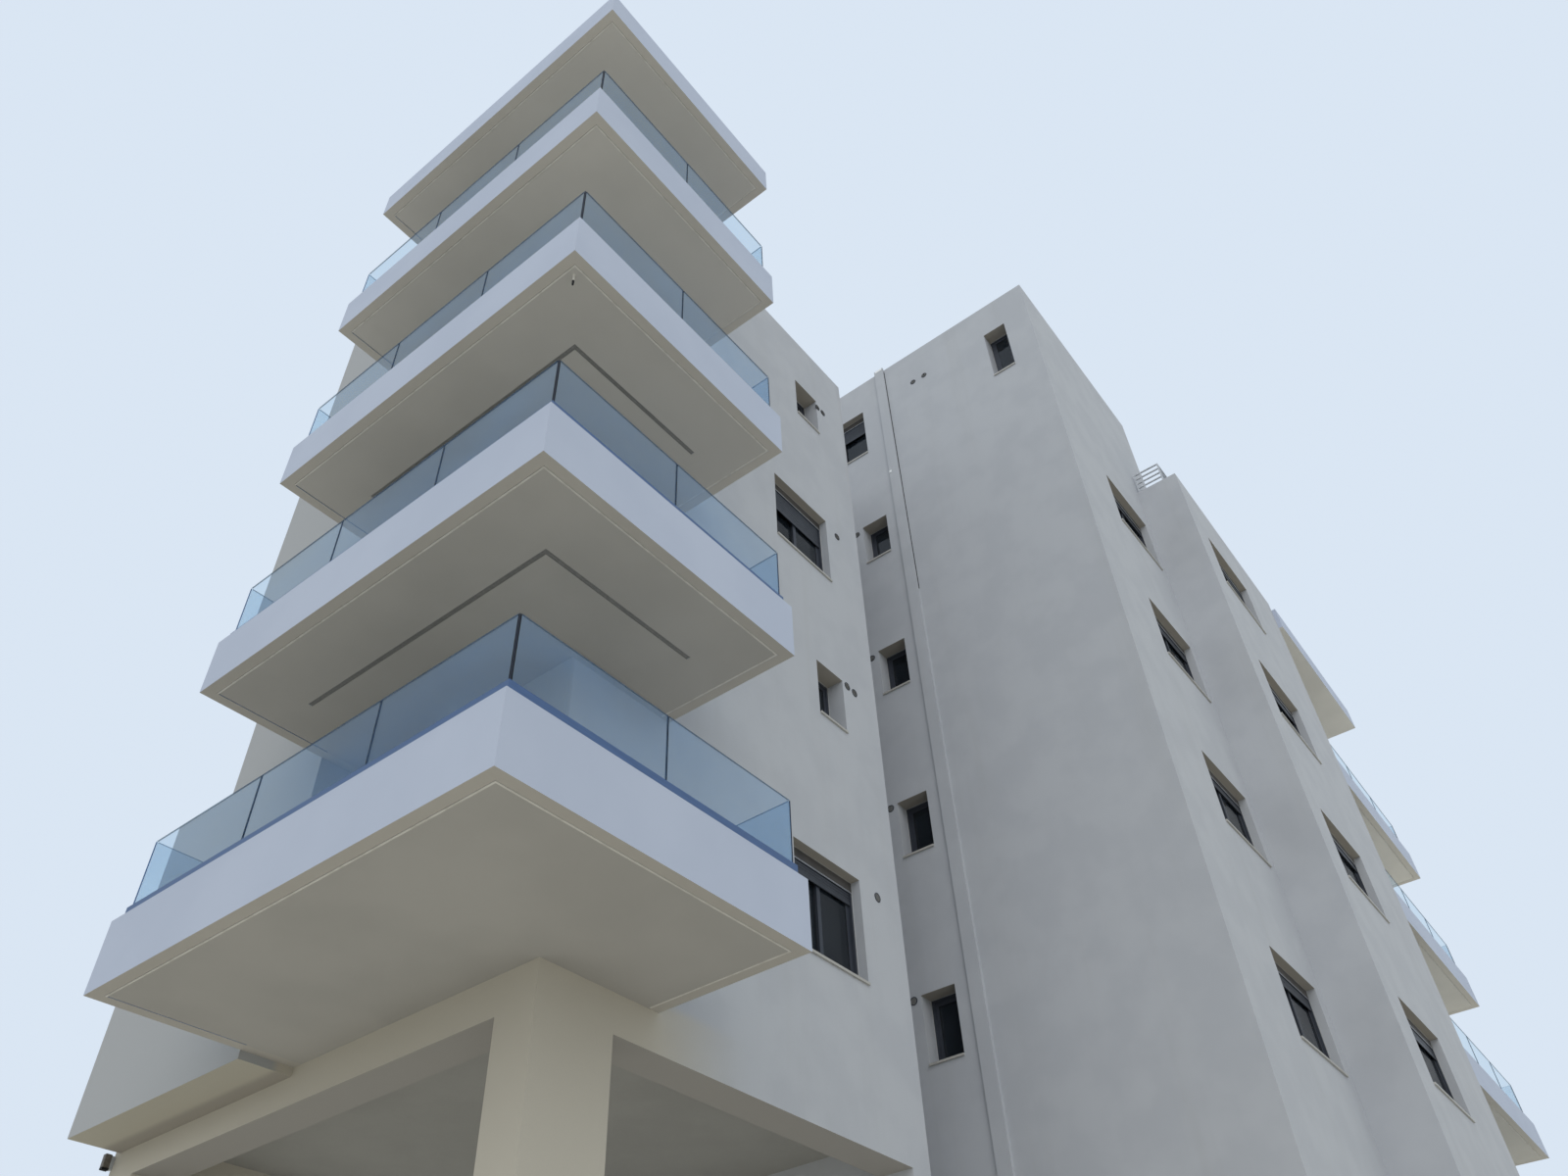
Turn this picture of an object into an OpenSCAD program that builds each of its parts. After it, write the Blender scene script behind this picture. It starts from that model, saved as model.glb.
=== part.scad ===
// Apartment block in rendered concrete: a left block on columns, a light well, a taller wing,
// a middle block that steps forward and a right block that mirrors the left one.
// The corner of the left block is the working origin; place() then centres the plan.

/* [Storeys] */
// Height from the paving to the underside of the first floor slab
ground_clear = 6040; // [4500:10:7000]
// Height of one storey
storey = 3150; // [2900:10:3500]
// Thickness of the floor and roof slabs
slab_t = 250; // [200:10:320]
// Height of the left block's parapet over the underside of its roof slab
left_parapet = 840; // [600:10:1100]
// Height of the middle and right blocks' parapet over the underside of their roof slab
right_parapet = 730; // [550:10:1100]
// Height of the wing's parapet over the underside of its roof slab
wing_parapet = 700; // [500:10:1100]

/* [Plan] */
// Width of the left block
left_w = 5700; // [5400:10:7000]
// Depth of the left block
left_d = 6070; // [5800:10:8000]
// Width of the light well between the left block and the wing
well_w = 2200; // [1500:10:3000]
// Depth of the light well, from the front of the left block
well_d = 2400; // [1500:10:3200]
// How far the wing stands forward of the left block
wing_forward = 3200; // [2000:10:4500]
// Width of the wing at its top storey
wing_w = 4700; // [4300:10:6000]
// Where the middle block starts, from the wing's outer corner
step_at = 3730; // [3000:10:4000]
// How far the middle block stands forward of the wing
step_forward = 820; // [400:10:1500]
// Width of the middle block
middle_w = 5020; // [4000:10:6500]
// Width of the right block
right_w = 4850; // [4200:10:6000]
// How far the right block stands forward of the left block
right_forward = 2140; // [1500:10:2800]
// Thickness of the outer walls
wall_t = 350; // [300:10:400]

/* [Columns and beams] */
// Width of the corner column on the front
column_w = 870; // [500:10:1200]
// Depth of the corner column on the side
column_d = 460; // [300:10:800]
// Depth of the beam below the first floor slab
beam_h = 355; // [250:5:500]
// Width of that beam
beam_w = 420; // [350:10:600]

/* [Balconies] */
// Overhang past the side wall
side_overhang = 2000; // [1500:10:2400]
// Overhang past the front wall
front_overhang = 1670; // [1300:10:2000]
// Length of the balcony along the side wall
side_run = 3190; // [2600:10:3600]
// Length of the balcony along the front wall
front_run = 1405; // [1200:10:2000]
// Height of the balcony edge
edge_h = 660; // [450:10:800]
// Thickness of the upstand on the balcony edge
edge_t = 150; // [120:10:200]
// Height of the canopy edge
canopy_h = 530; // [400:10:700]
// How far the right canopy stands out from its wall
canopy_out = 1960; // [1500:10:2200]
// Height of the glass guard over the slab's underside
guard_top = 1442; // [1350:1:1600]
// Thickness of the guard glass
guard_t = 16; // [10:1:24]
// Distance from the balcony's face to the guard glass
guard_inset = 80; // [40:5:90]
// Height of the metal base channel
channel_h = 130; // [60:5:150]
// Width of the metal base channel
channel_w = 60; // [40:2:90]
// Gap between two sheets of guard glass
guard_gap = 12; // [5:1:30]
// Gap between the two sheets that meet at a corner
corner_gap = 5; // [2:1:30]

/* [Underside grooves] */
// Distance of the drip groove from the slab's edge
drip_inset = 115; // [80:5:160]
// Width of the drip groove
drip_w = 16; // [8:1:40]
// Depth of the drip groove
drip_h = 14; // [8:1:30]
// Distance of the long recessed slot from the slab's edge
slot_inset = 800; // [600:10:1000]
// Distance of the slot's ends from the slab's ends
slot_end = 650; // [400:10:900]
// Width of the recessed slot
slot_w = 50; // [30:5:90]
// Depth of the recessed slot
slot_h = 60; // [30:5:120]

/* [Side bay] */
// How far the bay on the left side stands out
bay_out = 550; // [350:10:800]
// Drop of the bay below the first floor slab
bay_drop = 80; // [0:5:200]
// Distance of the bay from the rear corner
bay_end = 85; // [0:5:300]
// Thickness of the bay's shell
bay_t = 200; // [150:10:250]
// Length of the niche that is open at the bay's rear corner, one storey up
niche_run = 1050; // [700:10:1500]
// Height of that niche
niche_h = 2500; // [2000:10:2600]
// Height of its curb over the second floor slab
niche_curb = 60; // [0:5:200]

/* [Windows] */
// Width of the small windows
small_w = 600; // [450:10:800]
// Sill of the small windows over the slab's underside
small_sill = 1860; // [1500:5:2000]
// Height of the small windows
small_h = 880; // [600:5:900]
// Width of the living room windows
large_w = 1300; // [1100:10:1500]
// Sill of the living room windows over the slab's underside
large_sill = 1480; // [1200:5:1550]
// Height of the living room windows
large_h = 1300; // [1100:5:1350]
// Width of the wing's front windows
wing_win_w = 1700; // [1400:5:1750]
// Width of the middle block's front windows
middle_win_w = 1960; // [1400:5:2200]
// Sill of the wing's and the middle block's front windows
front_sill = 1450; // [1200:5:1550]
// Height of these front windows
front_h = 1215; // [1000:5:1350]
// Width of the narrow windows in the wing's side
narrow_w = 545; // [450:5:700]
// Sill of these narrow windows
narrow_sill = 1790; // [1500:5:1850]
// Height of these narrow windows
narrow_h = 960; // [700:5:1000]
// Sill of the wing's windows in the top storey
top_sill = 1635; // [1400:5:1700]
// Height of the narrow window in the top storey
top_h = 1330; // [1000:5:1400]
// Set-back of the shutter guides of a two-sash window from the wall's face
large_setback = 125; // [60:5:160]
// Set-back of a one-sash frame from the wall's face
small_setback = 255; // [120:5:265]

/* [Frames and shutters] */
// Width of the fixed frame members
frame_w = 50; // [40:1:60]
// Depth of the fixed frames
frame_d = 76; // [74:1:80]
// Width of the sash members
sash_w = 65; // [50:1:80]
// Depth of the sashes
sash_d = 30; // [24:1:32]
// Distance from the face of the front sliding sash to the face of the rear one
track = 34; // [33:1:36]
// Distance from the frame's face to the front sash
sash_in = 8; // [4:1:8]
// Height of the roller shutter box above a two-sash window
shutter_h = 145; // [120:5:180]
// Width of the shutter's side guides
guide_w = 40; // [30:1:48]
// Depth of the shutter's side guides
guide_d = 25; // [18:1:30]
// Thickness of the window glass
pane_t = 12; // [6:1:20]
// Thickness of the stone sills
sill_t = 30; // [20:1:50]
// Overhang of the stone sills
sill_out = 25; // [0:1:50]

/* [Balcony doors] */
// Width of the balcony doors
door_w = 2200; // [1600:10:2600]
// Height of the balcony doors
door_h = 2300; // [2100:10:2450]

/* [Entrance] */
// Width of the glazed entrance under the left block
entrance_w = 1500; // [1200:10:1800]
// Height of the entrance
entrance_h = 2250; // [2100:10:2400]

/* [Roof guard] */
// Height of the roof guard over the parapet
rail_h = 530; // [300:10:900]
// Thickness of the guard's bars
rail_t = 26; // [20:1:50]
// Number of horizontal bars
rail_bars = 4; // [2:1:6]
// Largest distance between two posts
rail_bay = 1300; // [800:50:2000]
// Distance from the parapet's face to the guard along the fronts
rail_inset = 250; // [150:10:260]
// Distance from the parapet's face to the short guard on the middle block's side
rail_edge = 30; // [10:5:80]

/* [Chase] */
// Distance of the rendered chase on the wing's side from the line of the left front wall
chase_start = 135; // [0:5:200]
// Width of the chase
chase_w = 210; // [150:10:260]
// How far the chase stands out
chase_out = 45; // [20:5:80]
// Height of the chase over the wing's parapet
chase_rise = 60; // [0:5:200]

/* [Hidden] */

// Heights; the closed blocks have one more storey, number 0, below the first floor slab
storeys = 4;
function level(k) = ground_clear + (k - 1) * storey;
roof_level = level(storeys + 1);
left_top = roof_level + left_parapet;
right_top = roof_level + right_parapet;
wing_top = level(storeys + 2) + wing_parapet;
beam_bottom = ground_clear - beam_h;
first_lift = level(1);
second_lift = level(3);

// Plan lines along x
well_x = left_w;
wing_x = well_x + well_w;
middle_x = wing_x + step_at;
wing_end_x = wing_x + wing_w;
right_x = middle_x + middle_w;
end_x = right_x + right_w;

// Plan lines along y
back_y = left_d;
wing_y = -wing_forward;
middle_y = wing_y - step_forward;
right_y = -right_forward;
canopy_y = right_y - canopy_out;
plan_mid_y = (back_y + sill_out + canopy_y) / 2;
t = wall_t;

// Windows and doors: [start along the wall, width, storey, sill, height, sashes]
left_front_windows = [
    [left_w - 870 - large_w, large_w, 1, large_sill, large_h, 2],
    [left_w - 825 - small_w, small_w, 2, small_sill, small_h, 1],
    [left_w - 870 - large_w, large_w, 3, large_sill, large_h, 2],
    [left_w - 825 - small_w, small_w, 4, small_sill, small_h, 1]];
wing_front_windows = [for (k = [0:storeys]) [wing_x + 1730, wing_win_w, k, front_sill, front_h, 2]];
middle_front_windows = [for (k = [0:storeys]) [middle_x + 790, middle_win_w, k, front_sill, front_h, 2]];
wing_side_windows = concat(
    [for (k = [0:storeys]) [575, narrow_w, k, narrow_sill, narrow_h, 1]],
    [[775, large_w, 5, top_sill, large_h, 2], [-2672, 465, 5, top_sill, top_h, 1]]);
right_side_windows = [for (k = [1:storeys]) [right_y + side_run + 1400, large_w, k, large_sill, large_h, 2]];

// Rear windows: [start, width, sill, height, sashes, lowest storey, highest storey]
rear_columns = [
    [1900, large_w, large_sill, large_h, 2, 1, storeys],
    [6550, small_w, small_sill, small_h, 1, 0, storeys],
    [9300, wing_win_w, front_sill, front_h, 2, 0, storeys + 1],
    [13350, middle_win_w, front_sill, front_h, 2, 0, storeys],
    [18150, large_w, large_sill, large_h, 2, 1, storeys]];
rear_windows = [for (c = rear_columns, k = [c[5]:c[6]]) [c[0], c[1], k, c[2], c[3], c[4]]];
left_doors = [for (k = [1:storeys]) [500, door_w, k, slab_t, door_h, 2]];
right_doors = [for (k = [1:storeys]) [right_x + 1100, door_w, k, slab_t, door_h, 2]];
roof_doors = [[-1200, door_w, 5, slab_t, door_h, 2]];
entrance = [3500, entrance_w, 0, -level(0), entrance_h, 2];

plaster = "#d5d6d8";
soffit = "#a9a49b";
charcoal = "#2e3136";
stone = "#c9c7c0";
metal = "#5f7fae";
white_metal = "#e6e8ea";

module place() {
    translate([-end_x / 2, -plan_mid_y, 0]) children();
}

// A face of the building: x runs along the wall, y goes into it
module on_front(y) {
    translate([0, y, 0]) children();
}

module on_left(x) {
    translate([x, 0, 0]) mirror([1, -1, 0]) children();
}

module on_back(y) {
    translate([0, y, 0]) mirror([0, 1, 0]) children();
}

module on_right(x) {
    translate([x, 0, 0]) rotate([0, 0, 90]) children();
}

// A flat wall with the given outline, seen from outside, as [along, height] points
module wall(outline) {
    translate([0, t, 0]) rotate([90, 0, 0]) linear_extrude(t) polygon(outline);
}

module box(a, b) {
    translate(a) cube(b - a);
}

function setback(w) = w[5] == 2 ? large_setback : small_setback;
function has_sill(w) = w[3] > slab_t;
function has_shutter(w) = has_sill(w) && w[5] == 2;
function guide(w) = has_shutter(w) ? guide_d : 0;
function head(w) = frame_w + (has_shutter(w) ? shutter_h : 0);

// A sash laps 8 mm over the fixed frame all round and one member over its neighbour
lap = 8;
function sash_length(w) = w[5] == 2 ? (w[1] - 2 * frame_w + sash_w) / 2 + lap : w[1] - 2 * (frame_w - lap);
function sash_start(w, i) = i == 0 ? frame_w - lap : w[1] - frame_w + lap - sash_length(w);
function sash_depth(w, i) = guide(w) + sash_in + (w[5] == 2 && i == 0 ? track : 0);
function sash_height(w) = w[4] - frame_w - head(w) + 2 * lap;

module window_cut(w) {
    z = level(w[2]) + w[3] - (has_sill(w) ? sill_t : 0);
    top = level(w[2]) + w[3] + w[4];
    box([w[0], -1, z], [w[0] + w[1], t + 1, top]);
}

module in_window(w) {
    translate([w[0], setback(w), level(w[2]) + w[3]]) children();
}

// Shutter box across the top, with a guide down each side
module shutter_case(w) {
    box([0, 0, w[4] - shutter_h], [w[1], guide_d + frame_d, w[4]]);
    for (x = [0, w[1] - guide_w])
        box([x, 0, 0], [x + guide_w, guide_d, w[4] - shutter_h]);
}

module sash(w, i) {
    size = [sash_length(w), sash_d, sash_height(w)];
    translate([sash_start(w, i), sash_depth(w, i), frame_w - lap]) difference() {
        cube(size);
        box([sash_w, -1, sash_w], [size[0] - sash_w, sash_d + 1, size[2] - sash_w]);
    }
}

// Fixed frame with its sashes and, on two-sash windows, the shutter case
module window_frame(w) {
    in_window(w) {
        difference() {
            translate([0, guide(w), 0]) cube([w[1], frame_d, w[4]]);
            box([frame_w, guide(w) - 1, frame_w], [w[1] - frame_w, guide(w) + frame_d + 1, w[4] - head(w)]);
        }
        for (i = [0:w[5] - 1]) sash(w, i);
        if (has_shutter(w)) shutter_case(w);
    }
}

module window_pane(w) {
    in_window(w) for (i = [0:w[5] - 1])
        translate([sash_start(w, i), sash_depth(w, i), frame_w - lap])
            translate([sash_w, (sash_d - pane_t) / 2, sash_w])
                cube([sash_length(w) - 2 * sash_w, pane_t, sash_height(w) - 2 * sash_w]);
}

module window_sill(w) {
    translate([w[0], -sill_out, level(w[2]) + w[3] - sill_t])
        cube([w[1], t + sill_out, sill_t]);
}

module columns() {
    color(plaster) {
        cube([column_w, column_d, beam_bottom]);
        translate([0, back_y - column_d, 0]) cube([column_w, column_d, beam_bottom]);
        translate([end_x - column_w, right_y, 0]) cube([column_w, column_d, beam_bottom]);
        translate([end_x - column_w, back_y - column_d, 0]) cube([column_w, column_d, beam_bottom]);
    }
}

module left_side_wall() {
    color(plaster) on_left(0) {
        difference() {
            wall([[t, beam_bottom], [back_y - t, beam_bottom], [back_y - t, left_top], [t, left_top]]);
            for (w = left_doors) window_cut(w);
        }
        box([beam_w, t, beam_bottom], [back_y - t, beam_w, ground_clear]);
    }
}

module left_front_wall() {
    color(plaster) on_front(0) {
        difference() {
            wall([[0, beam_bottom], [left_w, beam_bottom], [left_w, left_top], [0, left_top]]);
            for (w = left_front_windows) window_cut(w);
        }
        box([beam_w, t, beam_bottom], [left_w - t, beam_w, ground_clear]);
    }
}

// Faces the light well, and closes the middle's ground storey towards the left columns
module left_well_wall() {
    color(plaster) difference() {
        on_right(well_x)
            wall([[0, 0], [back_y - t, 0], [back_y - t, ground_clear], [well_d + t, ground_clear],
                [well_d + t, left_top], [t, left_top], [t, beam_bottom], [0, beam_bottom]]);
        on_left(well_x - t)
            box([entrance[0], -1, -1], [entrance[0] + entrance_w, t + 1, entrance_h]);
    }
}

// A shell against the side wall, with an open niche walled off from the rest at its rear corner
module left_bay() {
    rear = back_y - bay_end;
    niche_y = rear - niche_run;
    niche_z = level(2) + slab_t + niche_curb;
    color(plaster) difference() {
        box([-bay_out, side_run, ground_clear - bay_drop], [0, rear, left_top]);
        difference() {
            box([-bay_out + bay_t, side_run + bay_t, ground_clear - bay_drop + bay_t],
                [1, rear - bay_t, left_top - bay_t]);
            box([-bay_out, niche_y - bay_t, niche_z - bay_t], [2, rear, niche_z + niche_h + bay_t]);
        }
        box([-bay_out - 1, niche_y, niche_z], [1, rear + 1, niche_z + niche_h]);
    }
}

module well_back_wall() {
    color(plaster) on_front(well_d)
        wall([[well_x, 0], [wing_x, 0], [wing_x, left_top], [well_x, left_top]]);
}

// The wing's side wall goes up in three lifts
module side_lift(z0, z1) {
    color(plaster) on_left(wing_x) difference() {
        wall([[wing_y + t, z0], [well_d + t, z0], [well_d + t, z1], [wing_y + t, z1]]);
        for (w = wing_side_windows) window_cut(w);
    }
}

module wing_side_wall() {
    side_lift(0, first_lift);
}

module wing_side_wall_middle() {
    side_lift(first_lift, second_lift);
}

module wing_side_wall_top() {
    color(plaster) on_left(wing_x) difference() {
        wall([[wing_y + t, second_lift], [well_d + t, second_lift], [well_d + t, roof_level + slab_t],
            [back_y - t, roof_level + slab_t], [back_y - t, wing_top], [wing_y + t, wing_top]]);
        for (w = wing_side_windows) window_cut(w);
    }
}

module wing_front_wall() {
    color(plaster) on_front(wing_y) difference() {
        wall([[wing_x, 0], [middle_x, 0], [middle_x, right_top], [middle_x + t, right_top],
            [middle_x + t, roof_level + slab_t], [wing_end_x, roof_level + slab_t],
            [wing_end_x, wing_top], [wing_x, wing_top]]);
        for (w = wing_front_windows) window_cut(w);
    }
}

module wing_right_wall() {
    color(plaster) on_right(wing_end_x) difference() {
        wall([[wing_y + t, roof_level + slab_t], [back_y - t, roof_level + slab_t],
            [back_y - t, wing_top], [wing_y + t, wing_top]]);
        for (w = roof_doors) window_cut(w);
    }
}

// Rendered chase that ends above the wing's parapet
module wing_chase() {
    color(plaster) on_left(wing_x)
        box([chase_start, -chase_out, 0], [chase_start + chase_w, 0, wing_top + chase_rise]);
}

module middle_side_wall() {
    color(plaster) on_left(middle_x)
        wall([[middle_y + t, 0], [wing_y + t, 0], [wing_y + t, right_top], [middle_y + t, right_top]]);
}

module middle_front_wall() {
    color(plaster) on_front(middle_y) difference() {
        wall([[middle_x, 0], [right_x, 0], [right_x, right_top], [middle_x, right_top]]);
        for (w = middle_front_windows) window_cut(w);
    }
}

module middle_right_wall() {
    color(plaster) on_right(right_x)
        wall([[middle_y + t, 0], [back_y - t, 0], [back_y - t, ground_clear], [right_y + t, ground_clear],
            [right_y + t, right_top], [middle_y + t, right_top]]);
}

module right_front_wall() {
    color(plaster) on_front(right_y) {
        difference() {
            wall([[right_x, beam_bottom], [end_x, beam_bottom], [end_x, right_top], [right_x, right_top]]);
            for (w = right_doors) window_cut(w);
        }
        box([right_x, t, beam_bottom], [end_x - beam_w, beam_w, ground_clear]);
    }
}

module right_side_wall() {
    color(plaster) on_right(end_x) {
        difference() {
            wall([[right_y + t, beam_bottom], [back_y - t, beam_bottom], [back_y - t, right_top],
                [right_y + t, right_top]]);
            for (w = right_side_windows) window_cut(w);
        }
        box([right_y + t, t, beam_bottom], [back_y - t, beam_w, ground_clear]);
    }
}

module back_wall() {
    color(plaster) on_back(back_y) difference() {
        wall([[0, beam_bottom], [well_x - t, beam_bottom], [well_x - t, 0], [right_x, 0],
            [right_x, beam_bottom], [end_x, beam_bottom], [end_x, right_top], [wing_end_x, right_top],
            [wing_end_x, wing_top], [wing_x, wing_top], [wing_x, left_top], [0, left_top]]);
        for (w = rear_windows) window_cut(w);
    }
}

// The floor inside the walls, one outline for every storey
module floor_slab(k) {
    color(soffit) translate([0, 0, level(k)]) linear_extrude(slab_t)
        polygon([[t, t], [well_x - t, t], [well_x - t, well_d + t], [wing_x + t, well_d + t],
            [wing_x + t, wing_y + t], [middle_x + t, wing_y + t], [middle_x + t, middle_y + t],
            [right_x - t, middle_y + t], [right_x - t, right_y + t], [end_x - t, right_y + t],
            [end_x - t, back_y - t], [t, back_y - t]]);
}

// The floor of storey 0, inside the closed blocks
module floor_0() {
    color(soffit) translate([0, 0, level(0)]) linear_extrude(slab_t)
        polygon([[well_x, well_d + t], [wing_x + t, well_d + t], [wing_x + t, wing_y + t],
            [middle_x + t, wing_y + t], [middle_x + t, middle_y + t], [right_x - t, middle_y + t],
            [right_x - t, back_y - t], [well_x, back_y - t]]);
}

module wing_roof() {
    color(soffit)
        box([wing_x + t, wing_y + t, level(storeys + 2)],
            [wing_end_x - t, back_y - t, level(storeys + 2) + slab_t]);
}

// Plan of a balcony that wraps a corner at the origin, to the left and to the front
module balcony_plan(run, d) {
    polygon([[-side_overhang + d, -front_overhang + d], [run - d, -front_overhang + d], [run - d, 0],
        [0, 0], [0, side_run - d], [-side_overhang + d, side_run - d]]);
}

// A groove that follows the free edges at distance d
module edge_line(run, d, w, end) {
    x0 = -side_overhang + d;
    y0 = -front_overhang + d;
    translate([x0, y0]) square([run - end - x0, w]);
    translate([x0, y0]) square([w, side_run - end - y0]);
}

// Slab with its upstand, drip groove and, where asked, the long recessed slot
module balcony(run, closed_end, slot, h) {
    far = closed_end ? run + 1 : run - edge_t;
    difference() {
        linear_extrude(h) balcony_plan(run, 0);
        translate([0, 0, slab_t]) linear_extrude(h)
            polygon([[-side_overhang + edge_t, -front_overhang + edge_t], [far, -front_overhang + edge_t],
                [far, 1], [1, 1], [1, side_run - edge_t], [-side_overhang + edge_t, side_run - edge_t]]);
        translate([0, 0, -1]) linear_extrude(drip_h + 1) {
            edge_line(run, drip_inset, drip_w, drip_inset);
            if (!closed_end)
                translate([run - drip_inset - drip_w, -front_overhang + drip_inset])
                    square([drip_w, front_overhang - drip_inset - 20]);
            translate([-side_overhang + drip_inset, side_run - drip_inset - drip_w])
                square([side_overhang - drip_inset - bay_out - 20, drip_w]);
        }
        if (slot)
            translate([0, 0, -1]) linear_extrude(slot_h + 1) edge_line(run, slot_inset, slot_w, slot_end);
    }
}

module at_right_corner() {
    translate([end_x, right_y, 0]) mirror([1, 0, 0]) children();
}

module left_balcony(k) {
    color(plaster) translate([0, 0, level(k)]) balcony(front_run, false, k == 2 || k == 3, edge_h);
}

module right_balcony(k) {
    color(plaster) at_right_corner() translate([0, 0, level(k)]) balcony(right_w, true, false, edge_h);
}

module left_canopy() {
    color(plaster) translate([0, 0, roof_level]) balcony(front_run, false, false, canopy_h);
}

module right_canopy() {
    color(plaster) difference() {
        box([right_x, canopy_y, roof_level], [end_x, right_y, roof_level + canopy_h]);
        box([right_x - 1, canopy_y + edge_t, roof_level + slab_t],
            [end_x - edge_t, right_y + 1, roof_level + canopy_h + 1]);
    }
}

// Rows of glass sheets with open joints
module glass_row(start, end, count, z0, z1) {
    step = (end - start + guard_gap) / count;
    for (i = [0:count - 1])
        translate([start + i * step, 0, z0]) cube([step - guard_gap, guard_t, z1 - z0]);
}

// Sheets of one balcony, round a corner at the origin
module guard_glass(run, closed_end, front_count) {
    g = guard_inset;
    z0 = edge_h + channel_h / 5;
    x0 = -side_overhang + g;
    y0 = -front_overhang + g;
    c = guard_t + corner_gap;
    translate([0, y0, 0])
        glass_row(x0 + c, closed_end ? run - g : run - g - c, front_count, z0, guard_top);
    translate([x0, 0, 0]) mirror([1, -1, 0]) glass_row(y0 + c, side_run - g - c, 3, z0, guard_top);
    translate([0, side_run - g - guard_t, 0])
        glass_row(x0 + c, closed_end ? -10 : -bay_out - 10, 1, z0, guard_top);
    if (!closed_end)
        translate([run - g - guard_t, 0, 0]) mirror([1, -1, 0]) glass_row(y0 + c, -10, 1, z0, guard_top);
}

module left_guard_glass() {
    color("lightblue", 0.5) for (k = [1:storeys])
        translate([0, 0, level(k)]) guard_glass(front_run, false, 2);
}

module right_guard_glass() {
    color("lightblue", 0.5) at_right_corner() for (k = [1:storeys])
        translate([0, 0, level(k)]) guard_glass(right_w, true, 4);
}

// Base channel of one balcony: one metal profile with a groove for the glass
module channel(run, closed_end) {
    g = guard_inset - (channel_w - guard_t) / 2;
    x0 = -side_overhang + g;
    y0 = -front_overhang + g;
    x1 = closed_end ? run - 5 : run - g;
    y1 = side_run - g;
    inner = closed_end ? -5 : -bay_out - 5;
    difference() {
        translate([0, 0, edge_h]) linear_extrude(channel_h) {
            translate([x0, y0]) square([x1 - x0, channel_w]);
            translate([x0, y0]) square([channel_w, y1 - y0]);
            translate([x0, y1 - channel_w]) square([inner - x0, channel_w]);
            if (!closed_end)
                translate([x1 - channel_w, y0]) square([channel_w, -5 - y0]);
        }
        translate([0, 0, edge_h + channel_h / 5]) linear_extrude(channel_h) {
            s = (channel_w - guard_t) / 2;
            translate([x0 + s, y0 + s]) square([x1 - x0 - 2 * s, guard_t]);
            translate([x0 + s, y0 + s]) square([guard_t, y1 - y0 - 2 * s]);
            translate([x0 + s, y1 - channel_w + s]) square([inner - x0 - 2 * s, guard_t]);
            if (!closed_end)
                translate([x1 - channel_w + s, y0 + s]) square([guard_t, -5 - y0 - 2 * s]);
        }
    }
}

module guard_channels() {
    color(metal) {
        for (k = [1:storeys]) translate([0, 0, level(k)]) channel(front_run, false);
        at_right_corner() for (k = [1:storeys]) translate([0, 0, level(k)]) channel(right_w, true);
    }
}

// One straight length of the roof guard, from the origin along x
module guard_length(length) {
    posts = ceil(length / rail_bay);
    for (i = [0:posts])
        translate([i * (length - rail_t) / posts, 0, 0]) cube([rail_t, rail_t, rail_h]);
    for (j = [1:rail_bars])
        translate([0, 0, j * (rail_h - rail_t) / rail_bars]) cube([length, rail_t, rail_t]);
}

// The short side length stands at the parapet's face, the others further in
module roof_guard() {
    m = rail_inset;
    gap = rail_t + 10;
    side = wing_y - middle_y - m - rail_edge;
    color(white_metal) translate([0, 0, right_top]) {
        translate([middle_x + rail_edge, middle_y + m, 0]) mirror([1, -1, 0]) {
            guard_length(side);
            translate([side * 0.7, 0, 0]) cube([rail_t, rail_t, rail_h]);
        }
        translate([middle_x + rail_edge + gap, middle_y + m, 0])
            guard_length(middle_w - m - rail_edge - gap);
        translate([right_x - m + 10, middle_y + m, 0])
            mirror([1, -1, 0]) guard_length(right_y - middle_y);
        translate([right_x - m + 10, right_y + m + 10, 0]) guard_length(right_w - 10);
        translate([end_x - m + 10, right_y + m + 10, 0])
            mirror([1, -1, 0]) guard_length(back_y - right_y - 2 * m);
        translate([wing_end_x + 10, back_y - m, 0]) guard_length(end_x - wing_end_x - m - 20);
    }
}

module front_window_frames() {
    color(charcoal) {
        on_front(0) for (w = left_front_windows) window_frame(w);
        on_front(wing_y) for (w = wing_front_windows) window_frame(w);
        on_front(middle_y) for (w = middle_front_windows) window_frame(w);
    }
}

module side_window_frames() {
    color(charcoal) {
        on_left(wing_x) for (w = wing_side_windows) window_frame(w);
        on_right(end_x) for (w = right_side_windows) window_frame(w);
    }
}

module rear_window_frames() {
    color(charcoal) on_back(back_y) for (w = rear_windows) window_frame(w);
}

// Balcony doors, the doors to the roof and the entrance from the open ground level
module balcony_door_frames() {
    color(charcoal) {
        on_left(well_x - t) window_frame(entrance);
        on_left(0) for (w = left_doors) window_frame(w);
        on_front(right_y) for (w = right_doors) window_frame(w);
        on_right(wing_end_x) for (w = roof_doors) window_frame(w);
    }
}

module window_panes() {
    color("slategray", 0.5) {
        on_front(0) for (w = left_front_windows) window_pane(w);
        on_front(wing_y) for (w = wing_front_windows) window_pane(w);
        on_front(middle_y) for (w = middle_front_windows) window_pane(w);
        on_left(wing_x) for (w = wing_side_windows) window_pane(w);
        on_right(end_x) for (w = right_side_windows) window_pane(w);
        on_back(back_y) for (w = rear_windows) window_pane(w);
    }
}

module balcony_door_panes() {
    color("slategray", 0.5) {
        on_left(well_x - t) window_pane(entrance);
        on_left(0) for (w = left_doors) window_pane(w);
        on_front(right_y) for (w = right_doors) window_pane(w);
        on_right(wing_end_x) for (w = roof_doors) window_pane(w);
    }
}

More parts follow.
